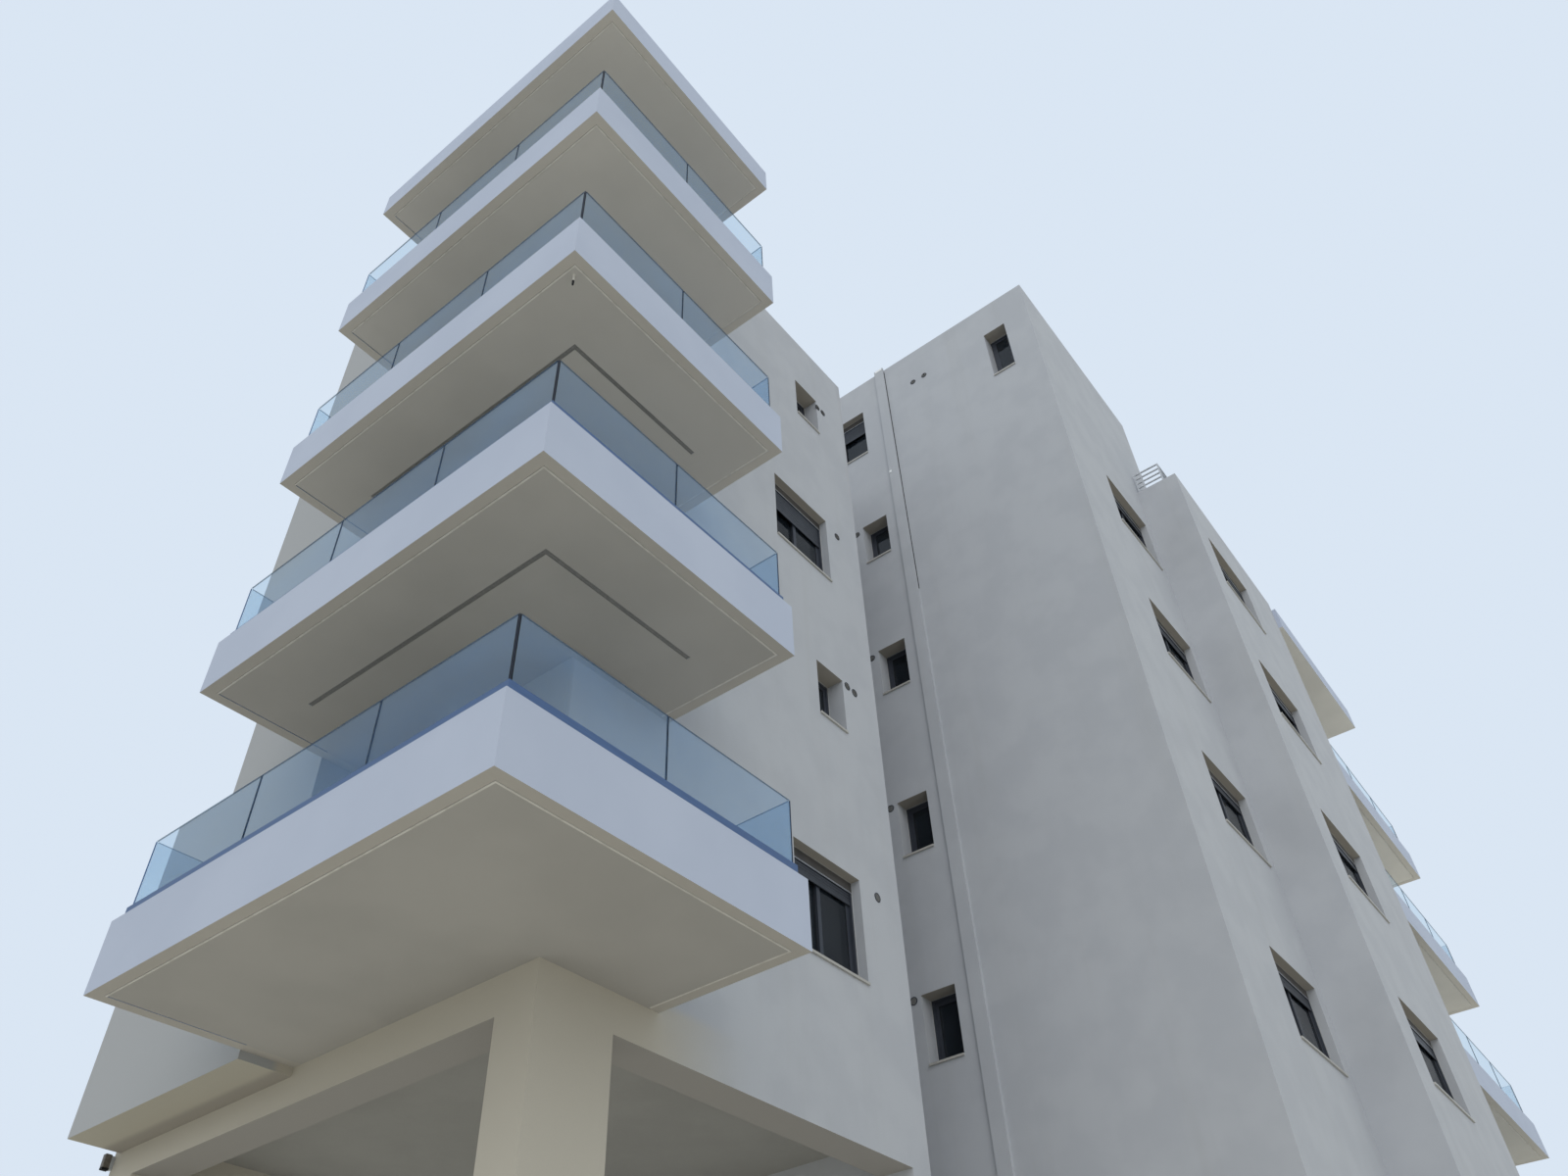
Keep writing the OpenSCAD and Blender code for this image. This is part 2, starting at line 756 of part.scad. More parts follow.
module window_sills() {
    color(stone) {
        on_front(0) for (w = left_front_windows) window_sill(w);
        on_front(wing_y) for (w = wing_front_windows) window_sill(w);
        on_front(middle_y) for (w = middle_front_windows) window_sill(w);
        on_left(wing_x) for (w = wing_side_windows) window_sill(w);
        on_right(end_x) for (w = right_side_windows) window_sill(w);
        on_back(back_y) for (w = rear_windows) window_sill(w);
    }
}

place() columns();
place() left_side_wall();
place() left_front_wall();
place() left_well_wall();
place() left_bay();
place() well_back_wall();
place() wing_side_wall();
place() wing_side_wall_middle();
place() wing_side_wall_top();
place() wing_front_wall();
place() wing_right_wall();
place() wing_chase();
place() middle_side_wall();
place() middle_front_wall();
place() middle_right_wall();
place() right_front_wall();
place() right_side_wall();
place() back_wall();
place() floor_0();
place() floor_slab(1);  // floor_1
place() floor_slab(2);  // floor_2
place() floor_slab(3);  // floor_3
place() floor_slab(4);  // floor_4
place() floor_slab(5);  // floor_5
place() wing_roof();
place() left_balcony(1);  // left_balcony_1
place() left_balcony(2);  // left_balcony_2
place() left_balcony(3);  // left_balcony_3
place() left_balcony(4);  // left_balcony_4
place() right_balcony(1);  // right_balcony_1
place() right_balcony(2);  // right_balcony_2
place() right_balcony(3);  // right_balcony_3
place() right_balcony(4);  // right_balcony_4
place() left_canopy();
place() right_canopy();
place() left_guard_glass();
place() right_guard_glass();
place() guard_channels();
place() roof_guard();
place() front_window_frames();
place() side_window_frames();
place() rear_window_frames();
place() balcony_door_frames();
place() window_panes();
place() balcony_door_panes();
place() window_sills();
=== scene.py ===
import math
import random

import bmesh
import bpy
from mathutils import Euler, Matrix, Vector


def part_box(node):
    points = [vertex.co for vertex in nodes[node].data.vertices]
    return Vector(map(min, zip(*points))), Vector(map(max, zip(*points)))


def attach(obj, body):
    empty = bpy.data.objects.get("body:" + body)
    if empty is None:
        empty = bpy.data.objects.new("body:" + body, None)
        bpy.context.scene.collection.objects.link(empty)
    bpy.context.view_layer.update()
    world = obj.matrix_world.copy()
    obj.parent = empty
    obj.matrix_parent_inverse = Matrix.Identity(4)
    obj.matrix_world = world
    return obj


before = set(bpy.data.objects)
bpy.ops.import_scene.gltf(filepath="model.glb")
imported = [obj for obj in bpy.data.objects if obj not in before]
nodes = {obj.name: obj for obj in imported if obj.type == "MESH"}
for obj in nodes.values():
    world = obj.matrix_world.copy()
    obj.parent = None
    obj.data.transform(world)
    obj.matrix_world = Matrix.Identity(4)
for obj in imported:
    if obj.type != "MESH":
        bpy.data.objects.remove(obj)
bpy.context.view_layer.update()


# Walls, columns and beams: brick and concrete under one skin of white acrylic plaster, floated
# with a fine sand grain; its slight cool cast is painted sky light. Rain has greyed it in faint
# upright streaks. The end walls carry painted shade, the columns and beams painted warm ground
# bounce, and the undersides of window heads and bay painted shade with warm bounce.
class Wire:
    """One output socket of a node tree. Sums and products of wires become Math nodes."""

    def __init__(self, tree, socket=None):
        self.tree = tree
        self.socket = socket

    def node(self, kind, settings=None, sockets=None, output=0):
        made = self.tree.nodes.new(kind)
        for name, value in (settings or {}).items():
            setattr(made, name, value)
        for key, value in (sockets or {}).items():
            socket = made.inputs[key]
            if isinstance(value, Wire):
                self.tree.links.new(value.socket, socket)
            elif socket.type == "RGBA":
                socket.default_value = (*value, 1.0)
            else:
                socket.default_value = value
        return Wire(self.tree, made.outputs[output] if made.outputs else None)

    def out(self, output):
        return Wire(self.tree, self.socket.node.outputs[output])

    def math(self, operation, *terms):
        return self.node("ShaderNodeMath", {"operation": operation}, dict(enumerate(terms)))

    def __add__(self, other):
        return self.math("ADD", self, other)

    def __sub__(self, other):
        return self.math("SUBTRACT", self, other)

    def __rsub__(self, other):
        return self.math("SUBTRACT", other, self)

    def __mul__(self, other):
        return self.math("MULTIPLY", self, other)

    def __truediv__(self, other):
        return self.math("DIVIDE", self, other)

    __radd__ = __add__
    __rmul__ = __mul__


def new_material(name):
    """A material, its Principled shader, and the wire of its Object coordinates."""
    material = bpy.data.materials.new(name)
    material.use_nodes = True
    where = Wire(material.node_tree).node("ShaderNodeTexCoord").out("Object")
    return material, material.node_tree.nodes["Principled BSDF"], where


def feed(wire, shader, socket):
    wire.tree.links.new(wire.socket, shader.inputs[socket])


def noise(where, scale, detail=3.0, roughness=0.5):
    return where.node("ShaderNodeTexNoise", {}, {"Vector": where, "Scale": scale, "Detail": detail,
                                                 "Roughness": roughness})


def stretched(where, scales):
    return where.node("ShaderNodeVectorMath", {"operation": "MULTIPLY"}, {0: where, 1: scales})


def blend(factor, first, second):
    return factor.node("ShaderNodeMix", {"data_type": "RGBA"}, {0: factor, 6: first, 7: second},
                       output=2)


def ease(wire, low, high, to_low=0.0, to_high=1.0):
    return wire.node("ShaderNodeMapRange", {"interpolation_type": "SMOOTHSTEP"},
                     {0: wire, 1: low, 2: high, 3: to_low, 4: to_high})


def mottle(field, first, second):
    """Soft patches of two close tones, by a noise field."""
    return blend(ease(field, 0.35, 0.65), first, second)


def bump(height, strength, distance):
    return height.node("ShaderNodeBump", {}, {"Strength": strength, "Distance": distance,
                                              "Height": height})


def upward(where):
    """How much a face looks up: 1 for a top, -1 for an underside."""
    normal = where.node("ShaderNodeNewGeometry").out("Normal")
    return where.node("ShaderNodeSeparateXYZ", {}, {0: normal}).out("Z")


def dress(material, names):
    """Gives a material to the CAD nodes of these names."""
    for name in names:
        for slot in nodes[name].material_slots:
            slot.material = material


wall_plaster, shader, where = new_material("wall_plaster")
grain = noise(where, 160.0, 3.0, 0.65)
float_marks = noise(where, 1.6, 3.0, 0.5)
streaks = noise(stretched(where, (2.6, 2.6, 0.14)), 1.0, 4.0, 0.6)
# Both tones are slightly cool: painted sky light.
colour = mottle(float_marks, (0.448, 0.462, 0.496), (0.476, 0.490, 0.522))
colour = blend(ease(streaks, 0.50, 0.80) * 0.28, colour, (0.408, 0.412, 0.420))
place = where.node("ShaderNodeSeparateXYZ", {}, {0: where})
height = place.out("Z")
off_centre = place.math("ABSOLUTE", place)
end_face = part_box("right_side_wall")[1].x
beam_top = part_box("floor_1")[0].z + 0.10
in_bay = ease(off_centre, end_face + 0.13, end_face + 0.23)
# Painted warm ground bounce on the columns and beams below the first floor, away from the bay.
bounce_lit_ends = ease(off_centre, 8.0, 9.6) * (1.0 - in_bay)
painted_bounce_light = ease(height, beam_top - 0.06, beam_top + 0.06, 1.0, 0.0) * bounce_lit_ends
# Painted shade: the end walls are darker.
colour = blend(ease(off_centre, end_face - 0.05, end_face - 0.01), colour, (0.388, 0.396, 0.408))
colour = blend(painted_bounce_light, colour, (0.515, 0.480, 0.412))
# Painted shade and warm ground bounce on every underside of the walls: grey low down, a darker tan
# higher up, a lighter warm tone under the bay.
tan = blend(in_bay, (0.365, 0.335, 0.295), (0.490, 0.460, 0.388))
heads = blend(ease(height, 5.50, 5.80), (0.372, 0.376, 0.392), tan)
colour = blend(ease(upward(where), -0.9, -0.6), heads, colour)
colour = blend(ease(grain, 0.45, 0.75) * 0.12, colour, (0.33, 0.33, 0.33))
feed(colour, shader, "Base Color")
feed(ease(grain, 0.2, 0.8, 0.82, 0.95), shader, "Roughness")
feed(bump(grain, 0.6, 0.002), shader, "Normal")
dress(wall_plaster, [
    "columns", "left_side_wall", "left_front_wall", "left_well_wall", "left_bay",
    "well_back_wall", "wing_side_wall", "wing_side_wall_middle", "wing_side_wall_top",
    "wing_front_wall", "wing_right_wall", "wing_chase", "middle_side_wall",
    "middle_front_wall", "middle_right_wall", "right_front_wall", "right_side_wall",
    "back_wall"])


# Floor and roof slabs: concrete cast in place. Their undersides are plastered a warm white, as
# under the open ground level; their tops are grey screed with cloudy trowel marks.
floor_finish, shader, where = new_material("floor_finish")
pores = noise(where, 60.0, 3.0, 0.6)
clouds = noise(where, 0.9, 4.0, 0.6)
screed = mottle(clouds, (0.265, 0.260, 0.250), (0.330, 0.325, 0.312))
ceiling = mottle(clouds, (0.325, 0.318, 0.300), (0.350, 0.342, 0.323))
feed(blend(ease(upward(where), -0.9, -0.6), ceiling, screed), shader, "Base Color")
feed(ease(pores, 0.3, 0.7, 0.75, 0.92), shader, "Roughness")
feed(bump(pores, 0.4, 0.0015), shader, "Normal")
dress(floor_finish, ["floor_%d" % storey for storey in range(6)] + ["wing_roof"])


# Balconies and canopies: trays of reinforced concrete, filled and painted smooth. The edges
# carry a cool white paint with a trace of lavender, its blue partly painted sky light. The
# undersides have a warm one, its warmth partly painted ground bounce, with painted sunlight on
# the right, painted light that grows higher up, and a touch tanner outside the drip bead.
drip_margin = 0.115


def edge_distance(where, low, high):
    """How far a point lies inside the rectangle from low to high, in plan."""
    x = where.node("ShaderNodeSeparateXYZ", {}, {0: where})
    y = x.out("Y")
    along = x.math("MINIMUM", x - low.x, high.x - x)
    across = x.math("MINIMUM", y - low.y, high.y - y)
    return x.math("MINIMUM", along, across)


def balcony_paint(name, underside, rim=None):
    material, shader, where = new_material(name)
    fine = noise(where, 130.0, 3.0, 0.6)
    clouds = noise(where, 0.8, 3.0, 0.5)
    # The edges' blue cast is partly painted sky light.
    edges = mottle(clouds, (0.446, 0.492, 0.606), (0.470, 0.516, 0.630))
    height = where.node("ShaderNodeSeparateXYZ", {}, {0: where}).out("Z")
    # Painted light: undersides grow lighter higher up, with some random mottle.
    height_light_and_mottle = ease(height, 6.0, 18.0) * 0.8 + ease(clouds, 0.35, 0.65) * 0.2
    shaded_low_tone, bright = (tuple(part * tone for part in underside) for tone in (0.88, 1.24))
    under = blend(height_light_and_mottle, shaded_low_tone, bright)
    if rim:
        margin = ease(edge_distance(where, *rim), drip_margin - 0.004, drip_margin, 1.0, 0.0)
        under = blend(margin * 0.4, under, (0.560, 0.520, 0.460))
    feed(blend(ease(upward(where), -0.9, -0.6), under, edges), shader, "Base Color")
    feed(ease(fine, 0.2, 0.8, 0.62, 0.78), shader, "Roughness")
    feed(bump(fine, 0.35, 0.0008), shader, "Normal")
    return material


left_low, left_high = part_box("left_balcony_1")
right_low, right_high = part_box("right_balcony_1")
# Underside tones: the left's warmth is partly painted ground bounce; the right's light cream is painted
# sunlight.
warm_white = (0.462, 0.446, 0.422)
cream = (0.690, 0.668, 0.625)
left_paint = balcony_paint("left_balcony_paint", warm_white, (left_low, left_high))
right_rim = (right_low - Vector((1, 0, 0)), right_high)
right_paint = balcony_paint("right_balcony_paint", cream, right_rim)
dress(left_paint, ["left_balcony_%d" % storey for storey in range(1, 5)] + ["left_canopy"])
dress(right_paint, ["right_balcony_%d" % storey for storey in range(1, 5)])
dress(balcony_paint("right_canopy_paint", cream), ["right_canopy"])


# Drip beads: a cream plastic profile pressed into the groove under every balcony and the left
# canopy, with a lip 3 mm proud of the paint. Rain falls off there, at the open slit along its
# outer side, before it reaches the wall.
def sweep(shape, route, outline, normal=Vector((0, 0, 1)), closed=False, place=Matrix()):
    """Draws an outline along a route with mitred corners: its x points right of the way,
    its y along the normal."""
    points = [Vector(point) for point in route]
    count = len(points)
    ways = [(points[(i + 1) % count] - points[i]).normalized()
            for i in range(count if closed else count - 1)]
    rings = []
    for i, point in enumerate(points):
        before = ways[i - 1] if closed or i > 0 else ways[0]
        after = ways[i] if i < len(ways) else ways[-1]
        side_in, side_out = before.cross(normal), after.cross(normal)
        mitre = (side_in + side_out) / (1.0 + side_in.dot(side_out))
        rings.append([shape.verts.new(place @ (point + mitre * x + normal * y))
                      for x, y in outline])
    size = len(outline)
    for i in range(len(ways)):
        here, there = rings[i], rings[(i + 1) % count]
        for j in range(size):
            shape.faces.new((here[j], here[(j + 1) % size], there[(j + 1) % size], there[j]))
    if not closed:
        shape.faces.new(rings[0])
        shape.faces.new(rings[-1])


def make_piece(name, shape, material):
    """Turns a finished shape into a piece of the building."""
    bmesh.ops.recalc_face_normals(shape, faces=shape.faces)
    mesh = bpy.data.meshes.new(name)
    shape.to_mesh(mesh)
    shape.free()
    mesh.materials.append(material)
    mesh.shade_smooth()
    mesh.set_sharp_from_angle(angle=math.radians(35))
    piece = bpy.data.objects.new(name, mesh)
    bpy.context.scene.collection.objects.link(piece)
    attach(piece, "root")
    return piece


cream_plastic, shader, where = new_material("cream_plastic")
dirt = noise(where, 9.0, 3.0, 0.6)
feed(blend(ease(dirt, 0.40, 0.7), (0.69, 0.67, 0.63), (0.57, 0.55, 0.51)), shader, "Base Color")
feed(ease(dirt, 0.3, 0.7, 0.38, 0.55), shader, "Roughness")

bead_in = drip_margin + 0.008
wall_gap = 0.02
bead_stop = 0.57
bead_outline = [(-0.0045, -0.0015), (-0.0035, -0.0028), (0.0132, -0.0028), (0.0144, -0.0012),
                (0.0144, 0.0010), (0.0077, 0.0010), (0.0077, 0.0135), (-0.0045, 0.0135)]
front_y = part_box("left_front_wall")[0].y
left_route = [(left_high.x - bead_in, front_y - wall_gap),
              (left_high.x - bead_in, left_low.y + bead_in),
              (left_low.x + bead_in, left_low.y + bead_in),
              (left_low.x + bead_in, left_high.y - drip_margin)]
right_route = [(right_low.x + drip_margin, right_low.y + bead_in),
               (right_high.x - bead_in, right_low.y + bead_in),
               (right_high.x - bead_in, right_high.y - bead_in),
               (end_face + bead_stop, right_high.y - bead_in)]
for side, route, inward in (("left", left_route, 1), ("right", right_route, -1)):
    shape = bmesh.new()
    for storey in range(1, 6 if side == "left" else 5):
        slab = "%s_balcony_%d" % (side, storey) if storey < 5 else "left_canopy"
        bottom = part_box(slab)[0].z
        outline = [(inward * x, y) for x, y in bead_outline]
        sweep(shape, [(x, y, bottom) for x, y in route], outline)
    make_piece(side + "_drip_beads", shape, cream_plastic)


# Recessed slots under the second and third balcony on the left: a folded steel channel cast
# into the slab in an L, with a grey strip of narrow ribs held in its mouth. Their grey is
# painted shade of the slot.
def settle(shader, values):
    """Sets what is the same all over the surface on the shader's own sockets."""
    for name, value in values.items():
        shader.inputs[name].default_value = value


grey_steel, shader, where = new_material("grey_steel")
scuffs = noise(where, 35.0, 4.0, 0.6)
feed(blend(ease(scuffs, 0.4, 0.7), (0.260, 0.258, 0.252), (0.320, 0.316, 0.308)), shader, "Base Color")
feed(ease(scuffs, 0.3, 0.7, 0.45, 0.62), shader, "Roughness")
settle(shader, {"Metallic": 0.25})

slot_in = 0.825
slot_end = 0.653
channel_outline = [(-0.0245, -0.001), (-0.0225, -0.001), (-0.0225, 0.0570), (0.0225, 0.0570),
                   (0.0225, -0.001), (0.0245, -0.001), (0.0245, 0.0590), (-0.0245, 0.0590)]
strip_pitch = 0.0073
strip_outline = [(-0.022, 0.012)]
for rib in range(6):
    near = rib * strip_pitch - 0.021
    strip_outline += [(near, 0.002), (near + 0.0045, 0.002), (near + 0.0055, 0.006)]
strip_outline += [(0.022, 0.006), (0.022, 0.012)]
# Painted shade: the grey of channel and strip stands for the shade in the slot.
shape = bmesh.new()
for storey in (2, 3):
    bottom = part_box("left_balcony_%d" % storey)[0].z
    route = [(left_high.x - slot_end, left_low.y + slot_in, bottom),
             (left_low.x + slot_in, left_low.y + slot_in, bottom),
             (left_low.x + slot_in, left_high.y - slot_end, bottom)]
    sweep(shape, route, channel_outline)
    sweep(shape, route, strip_outline)
make_piece("underside_slots", shape, grey_steel)


# Water spout: a finger-thick cream plastic pipe that drains the third balcony through its slab,
# with a collar under the slab and a black rubber nozzle pushed over its lower end.
black_rubber, shader, where = new_material("black_rubber")
chalk = noise(where, 40.0, 3.0, 0.6)
feed(blend(ease(chalk, 0.45, 0.75), (0.010, 0.011, 0.013), (0.022, 0.023, 0.026)), shader, "Base Color")
feed(ease(chalk, 0.3, 0.7, 0.55, 0.75), shader, "Roughness")
settle(shader, {"Specular IOR Level": 0.25})


def turned(shape, centre, rings, count=20):
    """Turns a closed profile of (radius, height) points round an upright axis."""
    loops = []
    for radius, height in rings:
        loops.append([shape.verts.new(Vector(centre) + Vector((
            radius * math.cos(math.tau * i / count), radius * math.sin(math.tau * i / count),
            height))) for i in range(count)])
    for i, loop in enumerate(loops):
        after = loops[(i + 1) % len(loops)]
        for j in range(count):
            shape.faces.new((loop[j], loop[(j + 1) % count], after[(j + 1) % count], after[j]))


spout = (left_low.x + 0.201, left_low.y + 0.212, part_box("left_balcony_3")[0].z)
shape = bmesh.new()
turned(shape, spout, [(0.0085, -0.115), (0.0110, -0.115), (0.0110, -0.009), (0.0180, -0.006),
                      (0.0190, -0.001), (0.0085, -0.001)])
make_piece("water_spout", shape, cream_plastic)
shape = bmesh.new()
turned(shape, spout, [(0.0065, -0.176), (0.0090, -0.178), (0.0115, -0.168), (0.0130, -0.112),
                      (0.0130, -0.104), (0.0112, -0.104), (0.0112, -0.119), (0.0065, -0.122)])
make_piece("spout_nozzle", shape, black_rubber)


# Balcony floors: pale stoneware tiles, about 60 cm square with eased edges, laid in thin-set
# on the trays with 4 mm joints. They run up to the walls and to the upstands.
def new_tree(name, sizes):
    """A Geometry Nodes tree with a named number input for each size, and one for its finish."""
    tree = bpy.data.node_groups.new(name, "GeometryNodeTree")
    tree.interface.new_socket("Shape", in_out="OUTPUT", socket_type="NodeSocketGeometry")
    for size in sizes:
        tree.interface.new_socket(size, in_out="INPUT", socket_type="NodeSocketFloat")
    tree.interface.new_socket("Finish", in_out="INPUT", socket_type="NodeSocketMaterial")
    return Wire(tree).node("NodeGroupInput")


def close_tree(made, finish):
    """Ends a tree: instances made real, one material, the group's output."""
    real = made.node("GeometryNodeRealizeInstances", {}, {0: made})
    dressed = real.node("GeometryNodeSetMaterial", {}, {"Geometry": real, "Material": finish})
    dressed.node("NodeGroupOutput", {}, {0: dressed})
    return made.tree


def vector(x, y, z, wire):
    """A vector of numbers and wires."""
    return wire.node("ShaderNodeCombineXYZ", {}, {0: x, 1: y, 2: z})


def grow(shape, tree, sizes, finish, place):
    """Adds to a shape the plain mesh that a tree makes for these sizes, put in its place."""
    holder = bpy.data.objects.new(tree.name, bpy.data.meshes.new(tree.name))
    bpy.context.scene.collection.objects.link(holder)
    live = holder.modifiers.new(tree.name, "NODES")
    live.node_group = tree
    for socket in tree.interface.items_tree:
        if socket.in_out == "INPUT":
            live[socket.identifier] = finish if socket.name == "Finish" else float(sizes[socket.name])
    bpy.context.view_layer.update()
    grown = holder.evaluated_get(bpy.context.evaluated_depsgraph_get())
    mesh = bpy.data.meshes.new_from_object(grown)
    holder.modifiers.clear()
    bpy.data.objects.remove(holder)
    mesh.transform(place)
    shape.from_mesh(mesh)
    bpy.data.meshes.remove(mesh)


def cover(shape, tree, low, high, height, sizes, finish):
    """Lays what a tree makes over the rectangle from low to high, in plan, at this height."""
    spans = {"Width": high[0] - low[0], "Depth": high[1] - low[1]}
    centre = ((low[0] + high[0]) / 2, (low[1] + high[1]) / 2, height)
    grow(shape, tree, {**spans, **sizes}, finish, Matrix.Translation(centre))


inputs = new_tree("tile_field", ("Width", "Depth", "Tile", "Joint", "Thickness"))
width, depth, tile, joint, thickness = [inputs.out(i) for i in range(5)]
columns = inputs.math("MAXIMUM", inputs.math("ROUND", width / tile), 1.0)
rows = inputs.math("MAXIMUM", inputs.math("ROUND", depth / tile), 1.0)
tile_x = width / columns
tile_y = depth / rows
eased_edge = 0.002
slab = inputs.node("GeometryNodeMeshCube", {}, {
    "Size": vector(tile_x - joint, tile_y - joint, thickness - eased_edge, inputs)})
normal = inputs.node("GeometryNodeInputNormal")
looks_up = inputs.math(
    "GREATER_THAN", inputs.node("ShaderNodeSeparateXYZ", {}, {0: normal}).out("Z"), 0.5)
raised = slab.node("GeometryNodeExtrudeMesh", {"mode": "FACES"}, {
    "Mesh": slab, "Selection": looks_up, "Offset Scale": eased_edge})
eased = raised.node("GeometryNodeScaleElements", {"domain": "FACE"}, {
    "Geometry": raised, "Selection": raised.out("Top"), "Scale": 0.992})
grid = inputs.node("GeometryNodeMeshGrid", {}, {
    "Size X": width - tile_x, "Size Y": depth - tile_y, "Vertices X": columns, "Vertices Y": rows})
laid = grid.node("GeometryNodeInstanceOnPoints", {}, {"Points": grid, "Instance": eased})
tile_field = close_tree(laid, inputs.out("Finish"))

stoneware, shader, where = new_material("stoneware")
flecks = noise(where, 55.0, 4.0, 0.7)
clouds = noise(where, 1.9, 3.0, 0.5)
colour = mottle(clouds, (0.540, 0.520, 0.480), (0.600, 0.580, 0.540))
feed(blend(ease(flecks, 0.5, 0.75) * 0.35, colour, (0.380, 0.360, 0.325)), shader, "Base Color")
feed(ease(flecks, 0.3, 0.7, 0.48, 0.64), shader, "Roughness")
feed(bump(flecks, 0.25, 0.0006), shader, "Normal")

upstand = 0.15
floor_rise = 0.25
tile_sizes = {"Tile": 0.6, "Joint": 0.004, "Thickness": 0.010}
tile_middle = tile_sizes["Thickness"] / 2 - 0.001
side_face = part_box("left_side_wall")[0].x
right_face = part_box("right_front_wall")[0].y
left_strips = [((left_low.x + upstand, left_low.y + upstand), (side_face, left_high.y - upstand)),
               ((side_face, left_low.y + upstand), (left_high.x - upstand, front_y))]
right_strips = [((end_face, right_low.y + upstand),
                 (right_high.x - upstand, right_high.y - upstand)),
                ((right_low.x, right_low.y + upstand), (end_face, right_face))]
for side, strips in (("left", left_strips), ("right", right_strips)):
    shape = bmesh.new()
    for storey in range(1, 5):
        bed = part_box("%s_balcony_%d" % (side, storey))[0].z + floor_rise
        for low, high in strips:
            cover(shape, tile_field, low, high, bed + tile_middle, tile_sizes, stoneware)
    make_piece(side + "_balcony_tiles", shape, stoneware)


# Roofs: mineral-coated bitumen membrane in strips a metre wide, torched down with 8 cm laps,
# on the roof slabs and in the canopies' trays.
def joined(first, second):
    """Two geometries as one."""
    both = first.node("GeometryNodeJoinGeometry", {}, {0: first})
    both.tree.links.new(second.socket, both.socket.node.inputs[0])
    return both


inputs = new_tree("membrane", ("Width", "Depth", "Strip", "Lap", "Thickness"))
width, depth, strip, lap, thickness = [inputs.out(i) for i in range(5)]
count = inputs.math("MAXIMUM", inputs.math("ROUND", width / strip), 1.0)
step = width / count
sheet = inputs.node("GeometryNodeMeshCube", {}, {
    "Size": vector(step, depth, thickness, inputs)})
line = inputs.node("GeometryNodeMeshLine", {}, {
    "Count": count, "Start Location": vector((step - width) * 0.5, 0.0, thickness * 0.5, inputs),
    "Offset": vector(step, 0.0, 0.0, inputs)})
strips = line.node("GeometryNodeInstanceOnPoints", {}, {"Points": line, "Instance": sheet})
seam = inputs.node("GeometryNodeMeshCube", {}, {"Size": vector(lap, depth, thickness, inputs)})
edges = inputs.node("GeometryNodeMeshLine", {}, {
    "Count": count - 1.0, "Start Location": vector(step - width * 0.5, 0.0, thickness * 1.5, inputs),
    "Offset": vector(step, 0.0, 0.0, inputs)})
seams = edges.node("GeometryNodeInstanceOnPoints", {}, {"Points": edges, "Instance": seam})
membrane = close_tree(joined(strips, seams), inputs.out("Finish"))

bitumen, shader, where = new_material("bitumen")
granules = noise(where, 240.0, 3.0, 0.7)
puddles = noise(where, 0.7, 4.0, 0.55)
colour = blend(ease(puddles, 0.4, 0.65), (0.335, 0.335, 0.330), (0.270, 0.265, 0.255))
feed(blend(ease(granules, 0.4, 0.7) * 0.4, colour, (0.180, 0.180, 0.180)), shader, "Base Color")
feed(ease(granules, 0.2, 0.8, 0.80, 0.96), shader, "Roughness")
feed(bump(granules, 0.6, 0.0012), shader, "Normal")

wall_t = 0.35
roof_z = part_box("floor_5")[1].z
wing_low, wing_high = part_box("wing_roof")
rear_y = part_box("back_wall")[0].y
wing_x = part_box("wing_side_wall")[0].x
well_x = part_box("left_well_wall")[0].x
well_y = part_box("well_back_wall")[1].y
middle_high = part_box("middle_front_wall")[1]
step_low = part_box("middle_side_wall")[0]
right_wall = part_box("right_side_wall")[0].x
wing_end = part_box("wing_right_wall")[1].x
canopy_low, canopy_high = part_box("right_canopy")
tray_z = canopy_low.z + floor_rise
roofs = [((side_face + wall_t, front_y + wall_t), (well_x, rear_y), roof_z),
         ((well_x, well_y), (wing_x, rear_y), roof_z),
         ((step_low.x + wall_t, middle_high.y), (wing_end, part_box("wing_front_wall")[0].y), roof_z),
         ((wing_end, middle_high.y), (middle_high.x - wall_t, rear_y), roof_z),
         ((middle_high.x - wall_t, right_face + wall_t), (right_wall, rear_y), roof_z),
         ((wing_low.x, wing_low.y), (wing_high.x, wing_high.y), wing_high.z),
         *[(low, high, tray_z) for low, high in left_strips],
         ((canopy_low.x, canopy_low.y + upstand), (canopy_high.x - upstand, canopy_high.y), tray_z)]
sheet_sizes = {"Strip": 1.0, "Lap": 0.08, "Thickness": 0.004}
shape = bmesh.new()
for low, high, top in roofs:
    cover(shape, membrane, low, high, top, sheet_sizes, bitumen)
make_piece("roof_membrane", shape, bitumen)


# Base channels of the glass guards: anodised aluminium profiles, blue, bolted down on the
# balcony edges; the blue is partly painted sky reflection. The glass is wedged in them with a
# black rubber gasket on either side.
channel_blue, shader, where = new_material("channel_blue")
drawn = noise(stretched(where, (6.0, 6.0, 160.0)), 1.0, 2.0, 0.5)
# Partly painted sky reflection in the blue.
feed(mottle(drawn, (0.050, 0.100, 0.215), (0.068, 0.128, 0.265)), shader, "Base Color")
feed(ease(drawn, 0.3, 0.7, 0.34, 0.48), shader, "Roughness")
settle(shader, {"Metallic": 0.35})
dress(channel_blue, ["guard_channels"])


